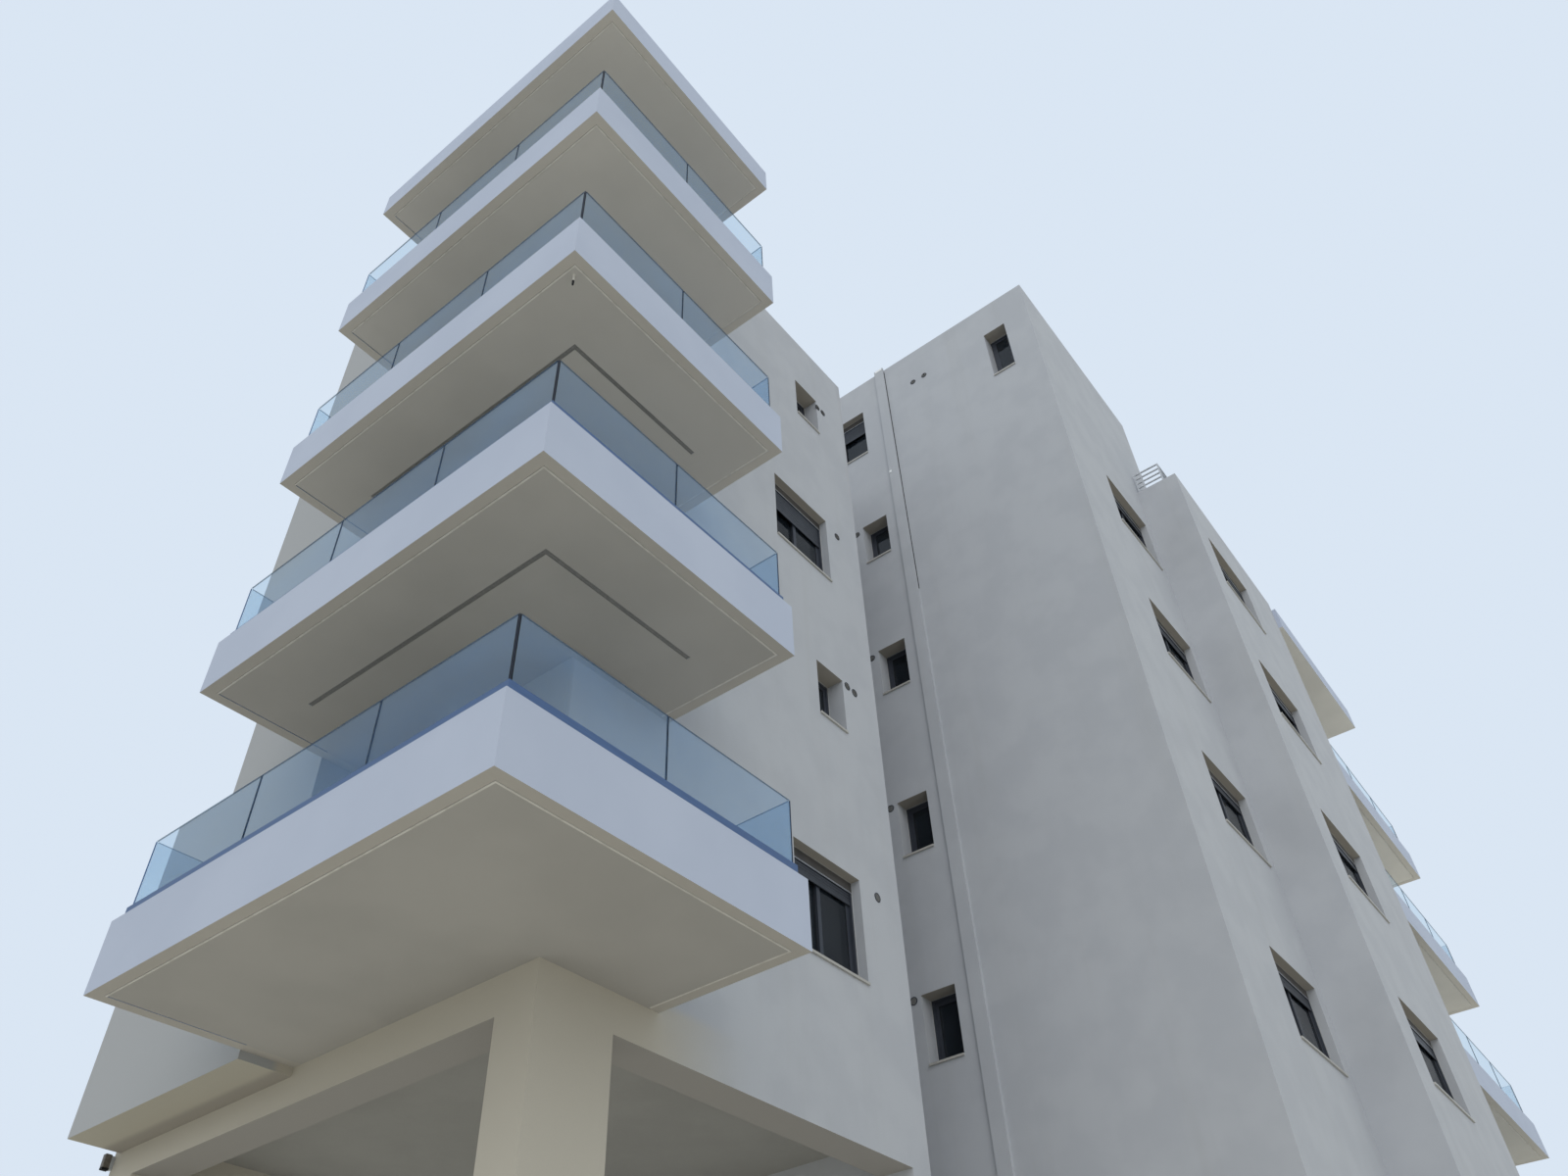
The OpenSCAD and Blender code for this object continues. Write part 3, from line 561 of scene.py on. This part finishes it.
def solids(*names):
    """Lowest and highest corner of each separate solid of these CAD nodes."""
    found = []
    for name in names:
        copy = bmesh.new()
        copy.from_mesh(nodes[name].data)
        bmesh.ops.remove_doubles(copy, verts=copy.verts, dist=1e-5)
        seen = set()
        for start in copy.verts:
            if start in seen:
                continue
            seen.add(start)
            island = [start]
            for vert in island:
                for edge in vert.link_edges:
                    other = edge.other_vert(vert)
                    if other not in seen:
                        seen.add(other)
                        island.append(other)
            places = list(zip(*(vert.co for vert in island)))
            found.append((Vector([min(axis) for axis in places]),
                          Vector([max(axis) for axis in places])))
        copy.free()
    return found


sheets = solids("left_guard_glass", "right_guard_glass")
channel_top = min(high.z for low, high in solids("guard_channels"))
bite = channel_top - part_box("left_guard_glass")[0].z
gasket_outline = [(-0.001, -0.004), (0.0075, -0.004), (0.0075, 0.002), (0.0045, 0.008), (-0.001, 0.011)]
shape = bmesh.new()
for low, high in sheets:
    top = low.z + bite
    loop = [(low.x, low.y, top), (high.x, low.y, top), (high.x, high.y, top), (low.x, high.y, top)]
    sweep(shape, loop, gasket_outline, closed=True)
make_piece("guard_gaskets", shape, black_rubber)


# Glass of the balcony guards: toughened laminated sheets, clear, that stand in the base
# channels with no rail on top. Their blue cast is a painted reflection of sky. Their cut upper
# edges look dark.
guard_glass, shader, where = new_material("guard_glass")
film = noise(stretched(where, (0.9, 0.9, 1.6)), 1.0, 3.0, 0.5)
cut_edge = ease(where.math("ABSOLUTE", upward(where)), 0.6, 0.9)
# Painted sky reflection: a blue base colour.
colour = mottle(film, (0.090, 0.280, 0.640), (0.120, 0.320, 0.680))
feed(blend(cut_edge, colour, (0.045, 0.060, 0.065)), shader, "Base Color")
feed(ease(film, 0.3, 0.7, 0.03, 0.08), shader, "Roughness")
clear = where.node("ShaderNodeBsdfTransparent", {}, {"Color": (0.945, 0.985, 0.995)})
solid = Wire(where.tree, shader.outputs[0])
density = ease(film, 0.3, 0.7, 0.11, 0.15) + cut_edge * 0.6
mixed = where.node("ShaderNodeMixShader", {}, {0: density, 1: clear, 2: solid})
feed(mixed, guard_glass.node_tree.nodes["Material Output"], "Surface")
dress(guard_glass, ["left_guard_glass", "right_guard_glass"])


# Edge seals and corner posts of the guards: a thin black profile is pressed over the upright
# edges of the sheets, so joints show as dark lines. A slim anodised post closes each corner,
# nearly black in front and blue behind, the blue partly painted sky reflection as on the
# channels; where a guard turns back to its wall, it stands alone.
seal_outline = [(0.0035, -0.0040), (0.0035, 0.0040), (0.0025, 0.0050), (-0.0005, 0.0050),
                (-0.0005, -0.0050), (0.0025, -0.0050)]
slim_corners = [Vector((left_low.x, left_high.y)), Vector((left_high.x, left_low.y)),
                Vector((right_high.x, right_high.y))]
corner_reach = 0.16


def at_slim_corner(point):
    return any((point.xy - corner).length < corner_reach for corner in slim_corners)


shape = bmesh.new()
for low, high in sheets:
    middle = (low + high) / 2
    along_x = high.x - low.x > high.y - low.y
    start = Vector((low.x, middle.y, 0)) if along_x else Vector((middle.x, low.y, 0))
    end = Vector((high.x, middle.y, 0)) if along_x else Vector((middle.x, high.y, 0))
    foot, head = Vector((0, 0, low.z + bite)), Vector((0, 0, high.z))
    face = Vector((0, 0, 1)).cross((end - start).normalized())
    if not at_slim_corner(start):
        sweep(shape, [start + foot, start + head], seal_outline, normal=face)
    if not at_slim_corner(end):
        sweep(shape, [end + head, end + foot], seal_outline, normal=face)
make_piece("guard_seals", shape, black_rubber)


def bar(shape, low, high, place=Matrix(), edge=0.002):
    """A straight bar or plate with its edges eased."""
    made = bmesh.ops.create_cube(shape, size=1.0)["verts"]
    for vert in made:
        vert.co = place @ Vector([a + (part + 0.5) * (b - a) for a, b, part in zip(low, high, vert.co)])
    edges = list({line for vert in made for line in vert.link_edges})
    bmesh.ops.bevel(shape, geom=edges, offset=edge, segments=1, affect="EDGES")


dark_anodised, shader, where = new_material("dark_anodised")
drawn = noise(stretched(where, (90.0, 90.0, 4.0)), 1.0, 2.0, 0.5)
feed(mottle(drawn, (0.007, 0.011, 0.023), (0.012, 0.018, 0.036)), shader, "Base Color")
feed(ease(drawn, 0.3, 0.7, 0.45, 0.58), shader, "Roughness")
settle(shader, {"Specular IOR Level": 0.25})
post = 0.010
post_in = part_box("left_guard_glass")[0].x - left_low.x + 0.008
glass_top = min(high.z for low, high in sheets)
corners = [(left_low.x, left_low.y, 1, 1), (left_low.x, left_high.y, 1, -1),
           (left_high.x, left_low.y, -1, 1), (right_high.x, right_low.y, -1, 1),
           (right_high.x, right_high.y, -1, -1)]
front_posts, rear_posts = bmesh.new(), bmesh.new()
for storey in range(1, 5):
    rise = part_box("left_balcony_%d" % storey)[0].z - left_low.z
    for x, y, right, rear in corners:
        shape = front_posts if rear > 0 else rear_posts
        x, y = x + right * post_in, y + rear * post_in
        bar(shape, (x - post / 2, y - post / 2, channel_top + rise - 0.002),
            (x + post / 2, y + post / 2, glass_top + rise))
make_piece("guard_front_posts", front_posts, dark_anodised)
make_piece("guard_rear_posts", rear_posts, channel_blue)


# Window and door frames: powder-coated aluminium sections, charcoal, mitred and screwed
# together. A thin grey bead of sealant closes each frame against its plastered reveal.
charcoal, shader, where = new_material("charcoal")
powder = noise(where, 300.0, 2.0, 0.5)
chalky = noise(where, 2.5, 3.0, 0.5)
feed(mottle(chalky, (0.026, 0.031, 0.044), (0.036, 0.042, 0.057)), shader, "Base Color")
feed(ease(powder, 0.3, 0.7, 0.42, 0.56), shader, "Roughness")
feed(bump(powder, 0.2, 0.0003), shader, "Normal")
frame_nodes = ["front_window_frames", "side_window_frames", "rear_window_frames", "balcony_door_frames"]
dress(charcoal, frame_nodes)
rear_line = 3.0


def window_axes(low, high):
    """Width and depth of a window, and its own axes: x along the wall to the right, y into
    it, z up, from the outer lower left corner."""
    if high.x - low.x < high.y - low.y:
        out = Vector((1, 0, 0)) if low.x > 0 else Vector((-1, 0, 0))
    else:
        out = Vector((0, 1, 0)) if low.y > rear_line else Vector((0, -1, 0))
    along = Vector((-out.y, out.x, 0))
    corner = Vector([high[i] if out[i] - along[i] > 0.5 else low[i] for i in range(3)])
    turn = Matrix((along, -out, (0, 0, 1))).transposed().to_4x4()
    size = high - low
    return abs(size.dot(along)), abs(size.dot(out)), Matrix.Translation(corner) @ turn


silicone, shader, where = new_material("silicone")
smears = noise(where, 60.0, 3.0, 0.6)
feed(blend(ease(smears, 0.35, 0.7), (0.30, 0.30, 0.30), (0.40, 0.40, 0.395)), shader, "Base Color")
feed(ease(smears, 0.3, 0.7, 0.35, 0.5), shader, "Roughness")
openings = [(low, high, *window_axes(low, high)) for low, high in solids(*frame_nodes)]
seal_bead = [(0.0, 0.0), (0.007, 0.0), (0.004, 0.004), (0.0, 0.007)]
shape = bmesh.new()
for low, high, width, depth, place in openings:
    height = high.z - low.z
    sweep(shape, [(0, 0, 0), (0, 0, height), (width, 0, height), (width, 0, 0)], seal_bead,
          normal=Vector((0, -1, 0)), place=place)
make_piece("frame_sealant", shape, silicone)


# Roller shutters: each curtain of interlocking aluminium slats comes down from its box between
# the side guides and ends in a heavier bar. The box has a bronze cover that unscrews, and two
# bright trims along the cover's lower edge.
inputs = new_tree("slat_curtain", ("Width", "Drop", "Pitch", "Thickness"))
width, drop, pitch, thickness = [inputs.out(i) for i in range(4)]
count = inputs.math("MAXIMUM", inputs.math("ROUND", drop / pitch), 1.0)
rail = inputs.node("GeometryNodeCurvePrimitiveLine", {}, {
    "Start": vector(0.0, 0.0, 0.0, inputs), "End": vector(width, 0.0, 0.0, inputs)})
ring = inputs.node("GeometryNodeCurvePrimitiveCircle", {}, {"Resolution": 12, "Radius": 1.0})
oval = ring.node("GeometryNodeTransform", {}, {
    "Geometry": ring, "Scale": vector(thickness * 0.5, pitch * 0.48, 1.0, inputs)})
slat = rail.node("GeometryNodeCurveToMesh", {}, {
    "Curve": rail, "Profile Curve": oval, "Fill Caps": True})
line = inputs.node("GeometryNodeMeshLine", {}, {
    "Count": count, "Start Location": vector(0.0, 0.0, pitch * -0.5, inputs),
    "Offset": vector(0.0, 0.0, pitch * -1.0, inputs)})
slats = line.node("GeometryNodeInstanceOnPoints", {}, {"Points": line, "Instance": slat})
block = inputs.node("GeometryNodeMeshCube", {}, {
    "Size": vector(width, thickness * 1.4, pitch * 1.2, inputs)})
end_bar = block.node("GeometryNodeTransform", {}, {
    "Geometry": block, "Translation": vector(width * 0.5, 0.0, (count + 0.6) * pitch * -1.0, inputs)})
slat_curtain = close_tree(joined(slats, end_bar), inputs.out("Finish"))

slat_paint, shader, where = new_material("slat_paint")
haze = noise(where, 3.0, 3.0, 0.6)
feed(mottle(haze, (0.022, 0.026, 0.036), (0.031, 0.036, 0.047)), shader, "Base Color")
feed(ease(noise(where, 90.0), 0.3, 0.7, 0.40, 0.55), shader, "Roughness")
bronze, shader, where = new_material("bronze")
haze = noise(where, 4.0, 3.0, 0.6)
feed(mottle(haze, (0.048, 0.044, 0.042), (0.064, 0.058, 0.054)), shader, "Base Color")
feed(ease(noise(where, 90.0), 0.3, 0.7, 0.42, 0.58), shader, "Roughness")
light_metal, shader, where = new_material("light_metal")
brushed = noise(stretched(where, (30.0, 30.0, 260.0)), 1.0, 3.0, 0.6)
feed(mottle(brushed, (0.50, 0.53, 0.58), (0.60, 0.63, 0.68)), shader, "Base Color")
feed(ease(brushed, 0.3, 0.7, 0.30, 0.45), shader, "Roughness")
settle(shader, {"Metallic": 0.6})

shutter_h = 0.145
slat_pitch = 0.039
slat_t = 0.010
curtain_in = 0.014
box_depth = 0.09
cover_in = 0.004
cover_proud = 0.004
trim_in = 0.010
trim_h = 0.005
trim_proud = 0.0065
guide_w = 0.040
first_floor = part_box("floor_1")[0].z
storey_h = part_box("floor_2")[0].z - first_floor
shuttered = [opening for opening in openings if opening[3] > box_depth]
sill_share = 0.45
usual_drops = (0.08, 0.12, 0.16, 0.20, 0.36, 0.52)
chance = random.Random(7)


def shutter_drop(low):
    """How far a curtain hangs down below its box."""
    storey = round((low.z - first_floor) / storey_h - sill_share) + 1
    if low.y > rear_line or low.x > middle_high.x:
        return chance.choice(usual_drops)
    if low.x < well_x:
        return 0.12 if storey == 1 else 0.36
    return 0.33 if storey == 5 else 0.08 + 0.04 * (storey % 2)


shape, covers, trims = bmesh.new(), bmesh.new(), bmesh.new()
for low, high, width, depth, place in shuttered:
    box_bottom = high.z - low.z - shutter_h
    sizes = {"Width": width - 2 * guide_w, "Drop": shutter_drop(low), "Pitch": slat_pitch,
             "Thickness": slat_t}
    hung = place @ Matrix.Translation((guide_w, curtain_in, box_bottom))
    grow(shape, slat_curtain, sizes, slat_paint, hung)
    bar(covers, (cover_in, -cover_proud, box_bottom + 0.006),
        (width - cover_in, 0.002, high.z - low.z - 0.003), place)
    for edge_z in (box_bottom + 0.001, box_bottom + 0.012):
        bar(trims, (trim_in, -trim_proud, edge_z), (width - trim_in, -0.0035, edge_z + trim_h),
            place, 0.001)
make_piece("shutter_curtains", shape, slat_paint)
make_piece("shutter_box_covers", covers, bronze)
make_piece("shutter_box_trims", trims, light_metal)


# Window glass: sealed double panes, seen as near-black against the unlit rooms, with a little
# sky in them. A black gasket holds every pane in its sash on both faces.
window_glass, shader, where = new_material("window_glass")
film = noise(stretched(where, (1.2, 1.2, 0.6)), 1.0, 3.0, 0.5)
feed(mottle(film, (0.010, 0.014, 0.020), (0.018, 0.024, 0.032)), shader, "Base Color")
feed(ease(film, 0.3, 0.7, 0.02, 0.06), shader, "Roughness")
settle(shader, {"Alpha": 0.80, "Specular IOR Level": 0.35})
dress(window_glass, ["window_panes", "balcony_door_panes"])

pane_seal = [(0.0, -0.001), (0.006, -0.001), (0.004, 0.005), (0.0, 0.006)]
shape = bmesh.new()
for low, high in solids("window_panes", "balcony_door_panes"):
    width, depth, place = window_axes(low, high)
    height = high.z - low.z
    loop = [(0, 0, 0), (0, 0, height), (width, 0, height), (width, 0, 0)]
    sweep(shape, loop, pane_seal, normal=Vector((0, -1, 0)), closed=True, place=place)
    inner = [(x, depth, z) for x, y, z in reversed(loop)]
    sweep(shape, inner, pane_seal, normal=Vector((0, 1, 0)), closed=True, place=place)
make_piece("pane_gaskets", shape, black_rubber)


# Sills: honed limestone, bedded in mortar under each window, 25 mm proud of the wall. A thin
# grey bead of sealant closes both ends against the plaster of the reveal.
limestone, shader, where = new_material("limestone")
grain = noise(where, 38.0, 5.0, 0.65)
veins = noise(stretched(where, (1.0, 1.0, 9.0)), 5.0, 3.0, 0.6)
colour = blend(ease(grain, 0.35, 0.7), (0.400, 0.388, 0.362), (0.480, 0.468, 0.440))
feed(blend(ease(veins, 0.52, 0.75) * 0.4, colour, (0.335, 0.322, 0.300)), shader, "Base Color")
feed(ease(grain, 0.3, 0.7, 0.42, 0.60), shader, "Roughness")
feed(bump(grain, 0.25, 0.0006), shader, "Normal")
dress(limestone, ["window_sills"])

bead_front = 0.025
bead_back = 0.14
shape = bmesh.new()
for low, high in solids("window_sills"):
    width, depth, place = window_axes(low, high)
    top = high.z - low.z
    sweep(shape, [(0, bead_front, top), (0, bead_back, top)], seal_bead, place=place)
    sweep(shape, [(width, bead_back, top), (width, bead_front, top)], seal_bead, place=place)
make_piece("sill_sealant", shape, silicone)


# Balcony and entrance doors: ribbed aluminium thresholds cover the floor of each reveal, and
# the front leaf has a bent tube for a pull.
door_corners = [low for low, high in solids("balcony_door_frames")]
doors = [opening for opening in openings if opening[0] in door_corners]
threshold_d = 0.123
rib_pitch = 0.009
rib_top = 0.0035
rib_foot = 0.0020
ribs = [(0.0, 0.0)]
for step in range(12):
    start = step * rib_pitch
    ribs += [(start + 0.004, rib_top), (start + 0.009, rib_top), (start + 0.0105, rib_foot),
             (start + 0.0115, rib_foot)]
ribs += [(0.120, 0.0030), (threshold_d, 0.0)]
pull_low = 0.92
pull_high = 1.22
pull_radius = 0.008
tube = [(pull_radius * math.cos(math.tau * i / 10), pull_radius * math.sin(math.tau * i / 10))
        for i in range(10)]
shape, pulls = bmesh.new(), bmesh.new()
for low, high, width, depth, place in doors:
    outer_edge = -threshold_d - 0.0015
    sweep(shape, [(width - 0.001, outer_edge, 0), (0.001, outer_edge, 0)], ribs, place=place)
    meeting = width / 2
    sweep(pulls, [(meeting, 0.010, pull_low), (meeting, -0.040, pull_low),
                  (meeting, -0.040, pull_high), (meeting, 0.010, pull_high)], tube,
          normal=Vector((1, 0, 0)), place=place)
make_piece("door_thresholds", shape, light_metal)
make_piece("door_pulls", pulls, light_metal)


# Wall vents: round grilles of grey pressed steel over the ducts of kitchens and baths, each
# with slanted blades in a raised charcoal ring.
inputs = new_tree("vent_ring", ("Radius", "Hem"))
radius, hem = [inputs.out(i) for i in range(2)]
circle = inputs.node("GeometryNodeCurvePrimitiveCircle", {}, {"Resolution": 28, "Radius": radius})
outline = inputs.node("GeometryNodeCurvePrimitiveCircle", {}, {"Resolution": 8, "Radius": hem})
tube = circle.node("GeometryNodeCurveToMesh", {}, {"Curve": circle, "Profile Curve": outline})
vent_ring = close_tree(tube, inputs.out("Finish"))

inputs = new_tree("vent_grille", ("Radius", "Blades"))
radius, blades = [inputs.out(i) for i in range(2)]
blade = inputs.node("GeometryNodeMeshCube", {}, {"Size": (1.0, 0.0015, 0.013)})
gap = radius * 2.0 / blades
line = inputs.node("GeometryNodeMeshLine", {}, {
    "Count": blades, "Start Location": vector(0.0, gap * 0.5 - radius, 0.001, inputs),
    "Offset": vector(0.0, gap, 0.0, inputs)})
place_y = inputs.node("ShaderNodeSeparateXYZ", {}, {
    0: inputs.node("GeometryNodeInputPosition")}).out("Y")
chord = inputs.math("SQRT", inputs.math("MAXIMUM", radius * radius - place_y * place_y, 0.0)) * 2.0
slanted = line.node("GeometryNodeInstanceOnPoints", {}, {
    "Points": line, "Instance": blade, "Rotation": (math.radians(50), 0.0, 0.0),
    "Scale": vector(chord, 1.0, 1.0, inputs)})
back = inputs.node("GeometryNodeMeshCylinder", {}, {"Vertices": 28, "Radius": radius, "Depth": 0.002})
vent_grille = close_tree(joined(slanted, back), inputs.out("Finish"))

front_vents = [(1, -5.548, 2.705), (2, -5.765, 2.710), (2, -5.594, 2.695), (3, -5.636, 2.655),
               (4, -5.851, 2.590), (4, -5.692, 2.590)]
side_vents = [(1, 0.246, 2.705), (2, 0.246, 2.705), (3, 0.260, 2.660), (4, 0.266, 2.645),
              (5, -1.492, 2.898), (5, -1.761, 2.898)]
vent_proud = 0.002
face_front = Matrix.Rotation(math.radians(90), 4, "X")
face_side = Matrix.Rotation(math.radians(-90), 4, "Z") @ face_front
vents = [(Vector((x, front_y - vent_proud, rise)), storey, face_front)
         for storey, x, rise in front_vents]
vents += [(Vector((wing_x - vent_proud, y, rise)), storey, face_side)
          for storey, y, rise in side_vents]
rings, grilles = bmesh.new(), bmesh.new()
for spot, storey, turn in vents:
    spot.z += first_floor + (storey - 1) * storey_h
    place = Matrix.Translation(spot) @ turn
    grow(rings, vent_ring, {"Radius": 0.055, "Hem": 0.007}, charcoal, place)
    grow(grilles, vent_grille, {"Radius": 0.052, "Blades": 8}, grey_steel, place)
make_piece("vent_rings", rings, charcoal)
make_piece("vent_grilles", grilles, grey_steel)


# Roof guard: a light galvanised railing on the parapets. Each post is welded to a small base
# plate, held down by two hexagon bolts.
galvanised, shader, where = new_material("galvanised")
spangle = noise(where, 26.0, 2.0, 0.7)
feed(mottle(spangle, (0.46, 0.475, 0.50), (0.58, 0.595, 0.62)), shader, "Base Color")
feed(ease(spangle, 0.3, 0.7, 0.36, 0.52), shader, "Roughness")
settle(shader, {"Metallic": 0.45})
dress(galvanised, ["roof_guard"])

inputs = new_tree("post_foot", ("Plate", "Thickness", "Bolt"))
plate, thickness, bolt = [inputs.out(i) for i in range(3)]
sheet = inputs.node("GeometryNodeMeshCube", {}, {"Size": vector(plate * 1.6, plate, thickness, inputs)})
head = inputs.node("GeometryNodeMeshCylinder", {}, {"Vertices": 6, "Radius": bolt, "Depth": bolt})
pair = inputs.node("GeometryNodeMeshLine", {"mode": "END_POINTS"}, {
    "Count": 2, "Start Location": vector(plate * -0.6, 0.0, bolt * 0.5, inputs),
    "Offset": vector(plate * 0.6, 0.0, bolt * 0.5, inputs)})
bolts = pair.node("GeometryNodeInstanceOnPoints", {}, {"Points": pair, "Instance": head})
post_foot = close_tree(joined(sheet, bolts), inputs.out("Finish"))

guard_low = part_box("roof_guard")[0].z
post_width = 0.045
foot_sizes = {"Plate": 0.052, "Thickness": 0.006, "Bolt": 0.0085}
foot_z = guard_low + foot_sizes["Thickness"] / 2
lowest = [vert.co.xy for vert in nodes["roof_guard"].data.vertices if vert.co.z < guard_low + 0.001]
feet = []
for spot in lowest:
    if not any((spot - foot).length < post_width for foot in feet):
        feet.append(spot)
shape = bmesh.new()
for foot in feet:
    near = [spot for spot in lowest if (spot - foot).length < post_width]
    middle = sum(near, Vector((0, 0))) / len(near)
    grow(shape, post_foot, foot_sizes, galvanised, Matrix.Translation((*middle, foot_z)))
make_piece("roof_guard_feet", shape, galvanised)


# Chase cap and shadow line: a small sheet-metal plate, painted bright white, is nailed across
# the top end of the rendered chase, and a white clip is on its edge below. A dark strip in black
# rubber on the wall along the upper chase's near side is a painted shadow line of the chase.
white_sheet, shader, where = new_material("white_sheet")
dust = noise(where, 14.0, 3.0, 0.6)
feed(blend(ease(dust, 0.5, 0.8), (0.90, 0.91, 0.92), (0.80, 0.80, 0.79)), shader, "Base Color")
feed(ease(dust, 0.3, 0.7, 0.30, 0.45), shader, "Roughness")

chase_low, chase_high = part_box("wing_chase")
chase_middle = (chase_low.y + chase_high.y) / 2
cap_half = 0.080
cap_drop = 0.062
clip_drop = 3.31
shape = bmesh.new()
bar(shape, (chase_low.x - 0.005, chase_middle - cap_half, chase_high.z - cap_drop),
    (chase_low.x + 0.001, chase_middle + cap_half, chase_high.z - 0.001))
clip = Vector((chase_low.x, chase_high.y - 0.030, chase_high.z - clip_drop))
bar(shape, clip + Vector((-0.008, -0.025, 0.0)), clip + Vector((0.001, 0.025, 0.060)))
make_piece("chase_cap", shape, white_sheet)

# Painted shadow: a dark strip beside the upper chase.
shadow_line_foot = 16.0
shadow_line_head = chase_high.z - 0.130
shadow_line_outline = [(-0.001, -0.001), (-0.001, 0.010), (0.004, 0.010), (0.012, 0.004), (0.012, -0.001)]
shape = bmesh.new()
sweep(shape, [(wing_x, chase_low.y, shadow_line_foot), (wing_x, chase_low.y, shadow_line_head)], shadow_line_outline,
      normal=Vector((-1, 0, 0)))
make_piece("chase_shadow_line", shape, black_rubber)


# Wall lamp: a small brown hood on a bare aluminium back box, screwed to the side wall behind
# the rear end of the bay, with a black louvre below, through which it lights the wall.
lamp_brown, shader, where = new_material("lamp_brown")
haze = noise(where, 30.0, 3.0, 0.6)
feed(mottle(haze, (0.115, 0.104, 0.092), (0.170, 0.154, 0.136)), shader, "Base Color")
feed(ease(noise(where, 90.0), 0.3, 0.7, 0.42, 0.58), shader, "Roughness")

lamp_spot = Vector((side_face, 5.070, 5.800))
hood_out = 0.105
hood_half = 0.027
blade_pitch = 0.0125
shape = bmesh.new()
bar(shape, lamp_spot + Vector((-hood_out, -hood_half, 0.020)),
    lamp_spot + Vector((-0.034, hood_half, 0.150)), edge=0.006)
make_piece("wall_lamp_hood", shape, lamp_brown)
shape = bmesh.new()
bar(shape, lamp_spot + Vector((-0.036, -0.024, 0.010)), lamp_spot + Vector((0.001, 0.024, 0.140)),
    edge=0.003)
make_piece("wall_lamp_box", shape, light_metal)
shape = bmesh.new()
for step in range(6):
    reach = step * blade_pitch - hood_out + 0.001
    bar(shape, lamp_spot + Vector((reach, -0.026, 0.0)),
        lamp_spot + Vector((reach + 0.008, 0.026, 0.023)), edge=0.001)
make_piece("wall_lamp_louvre", shape, black_rubber)


# Floor, light and camera: a pale floor and a pale sky that lights evenly, one wide soft lamp
# from the left, and the camera at the photograph's viewing angle, low down by the left corner.
floor_mesh = bpy.data.meshes.new("pale_floor")
floor_reach = 90
floor_corners = [(x * floor_reach, y * floor_reach, 0) for x, y in ((-1, -1), (1, -1), (1, 1), (-1, 1))]
floor_mesh.from_pydata(floor_corners, [], [(0, 1, 2, 3)])
pale_floor = bpy.data.objects.new("pale_floor", floor_mesh)
bpy.context.scene.collection.objects.link(pale_floor)
floor_paint, shader, where = new_material("pale_floor")
feed(blend(ease(noise(where, 0.4), 0.3, 0.7), (0.71, 0.67, 0.59), (0.75, 0.705, 0.62)), shader,
     "Base Color")
settle(shader, {"Roughness": 0.9})
floor_mesh.materials.append(floor_paint)

world = bpy.data.worlds.new("pale_sky")
bpy.context.scene.world = world
world.use_nodes = True
world.node_tree.nodes.clear()
start = Wire(world.node_tree)
rays = start.node("ShaderNodeLightPath")
seen = rays.math("MINIMUM", rays.out("Is Camera Ray") + rays.out("Is Glossy Ray")
                 + rays.out("Is Transmission Ray"), 1.0)
backdrop = start.node("ShaderNodeBackground", {}, {"Color": (0.70, 0.79, 0.90), "Strength": 1.0})
light = start.node("ShaderNodeBackground", {}, {"Color": (0.87, 0.95, 1.0), "Strength": 0.74})
mixed = start.node("ShaderNodeMixShader", {}, {0: seen, 1: light, 2: backdrop})
mixed.node("ShaderNodeOutputWorld", {}, {"Surface": mixed})

soft_lamp = bpy.data.lights.new("soft_lamp", "SUN")
soft_lamp.energy = 0.9
soft_lamp.angle = math.radians(60)
soft_lamp.color = (1.0, 0.99, 0.98)
lamp = bpy.data.objects.new("soft_lamp", soft_lamp)
bpy.context.scene.collection.objects.link(lamp)
lamp.rotation_euler = Vector((-0.66, -0.52, 0.54)).to_track_quat("Z", "Y").to_euler()

eye = bpy.data.cameras.new("eye")
focal_pixels = 1216.2
picture_width = 1600
eye.sensor_width = 36.0
eye.lens = focal_pixels / picture_width * eye.sensor_width
eye.clip_end = 500.0
camera = bpy.data.objects.new("eye", eye)
bpy.context.scene.collection.objects.link(camera)
eye_place = (-16.694, -7.8545, 1.501)
tilt, roll, heading = 133.8427, 2.2599, -52.1814
turn = Euler([math.radians(angle) for angle in (tilt, roll, heading)])
camera.matrix_world = Matrix.Translation(eye_place) @ turn.to_matrix().to_4x4()
bpy.context.scene.camera = camera
bpy.context.scene.view_settings.view_transform = "Standard"
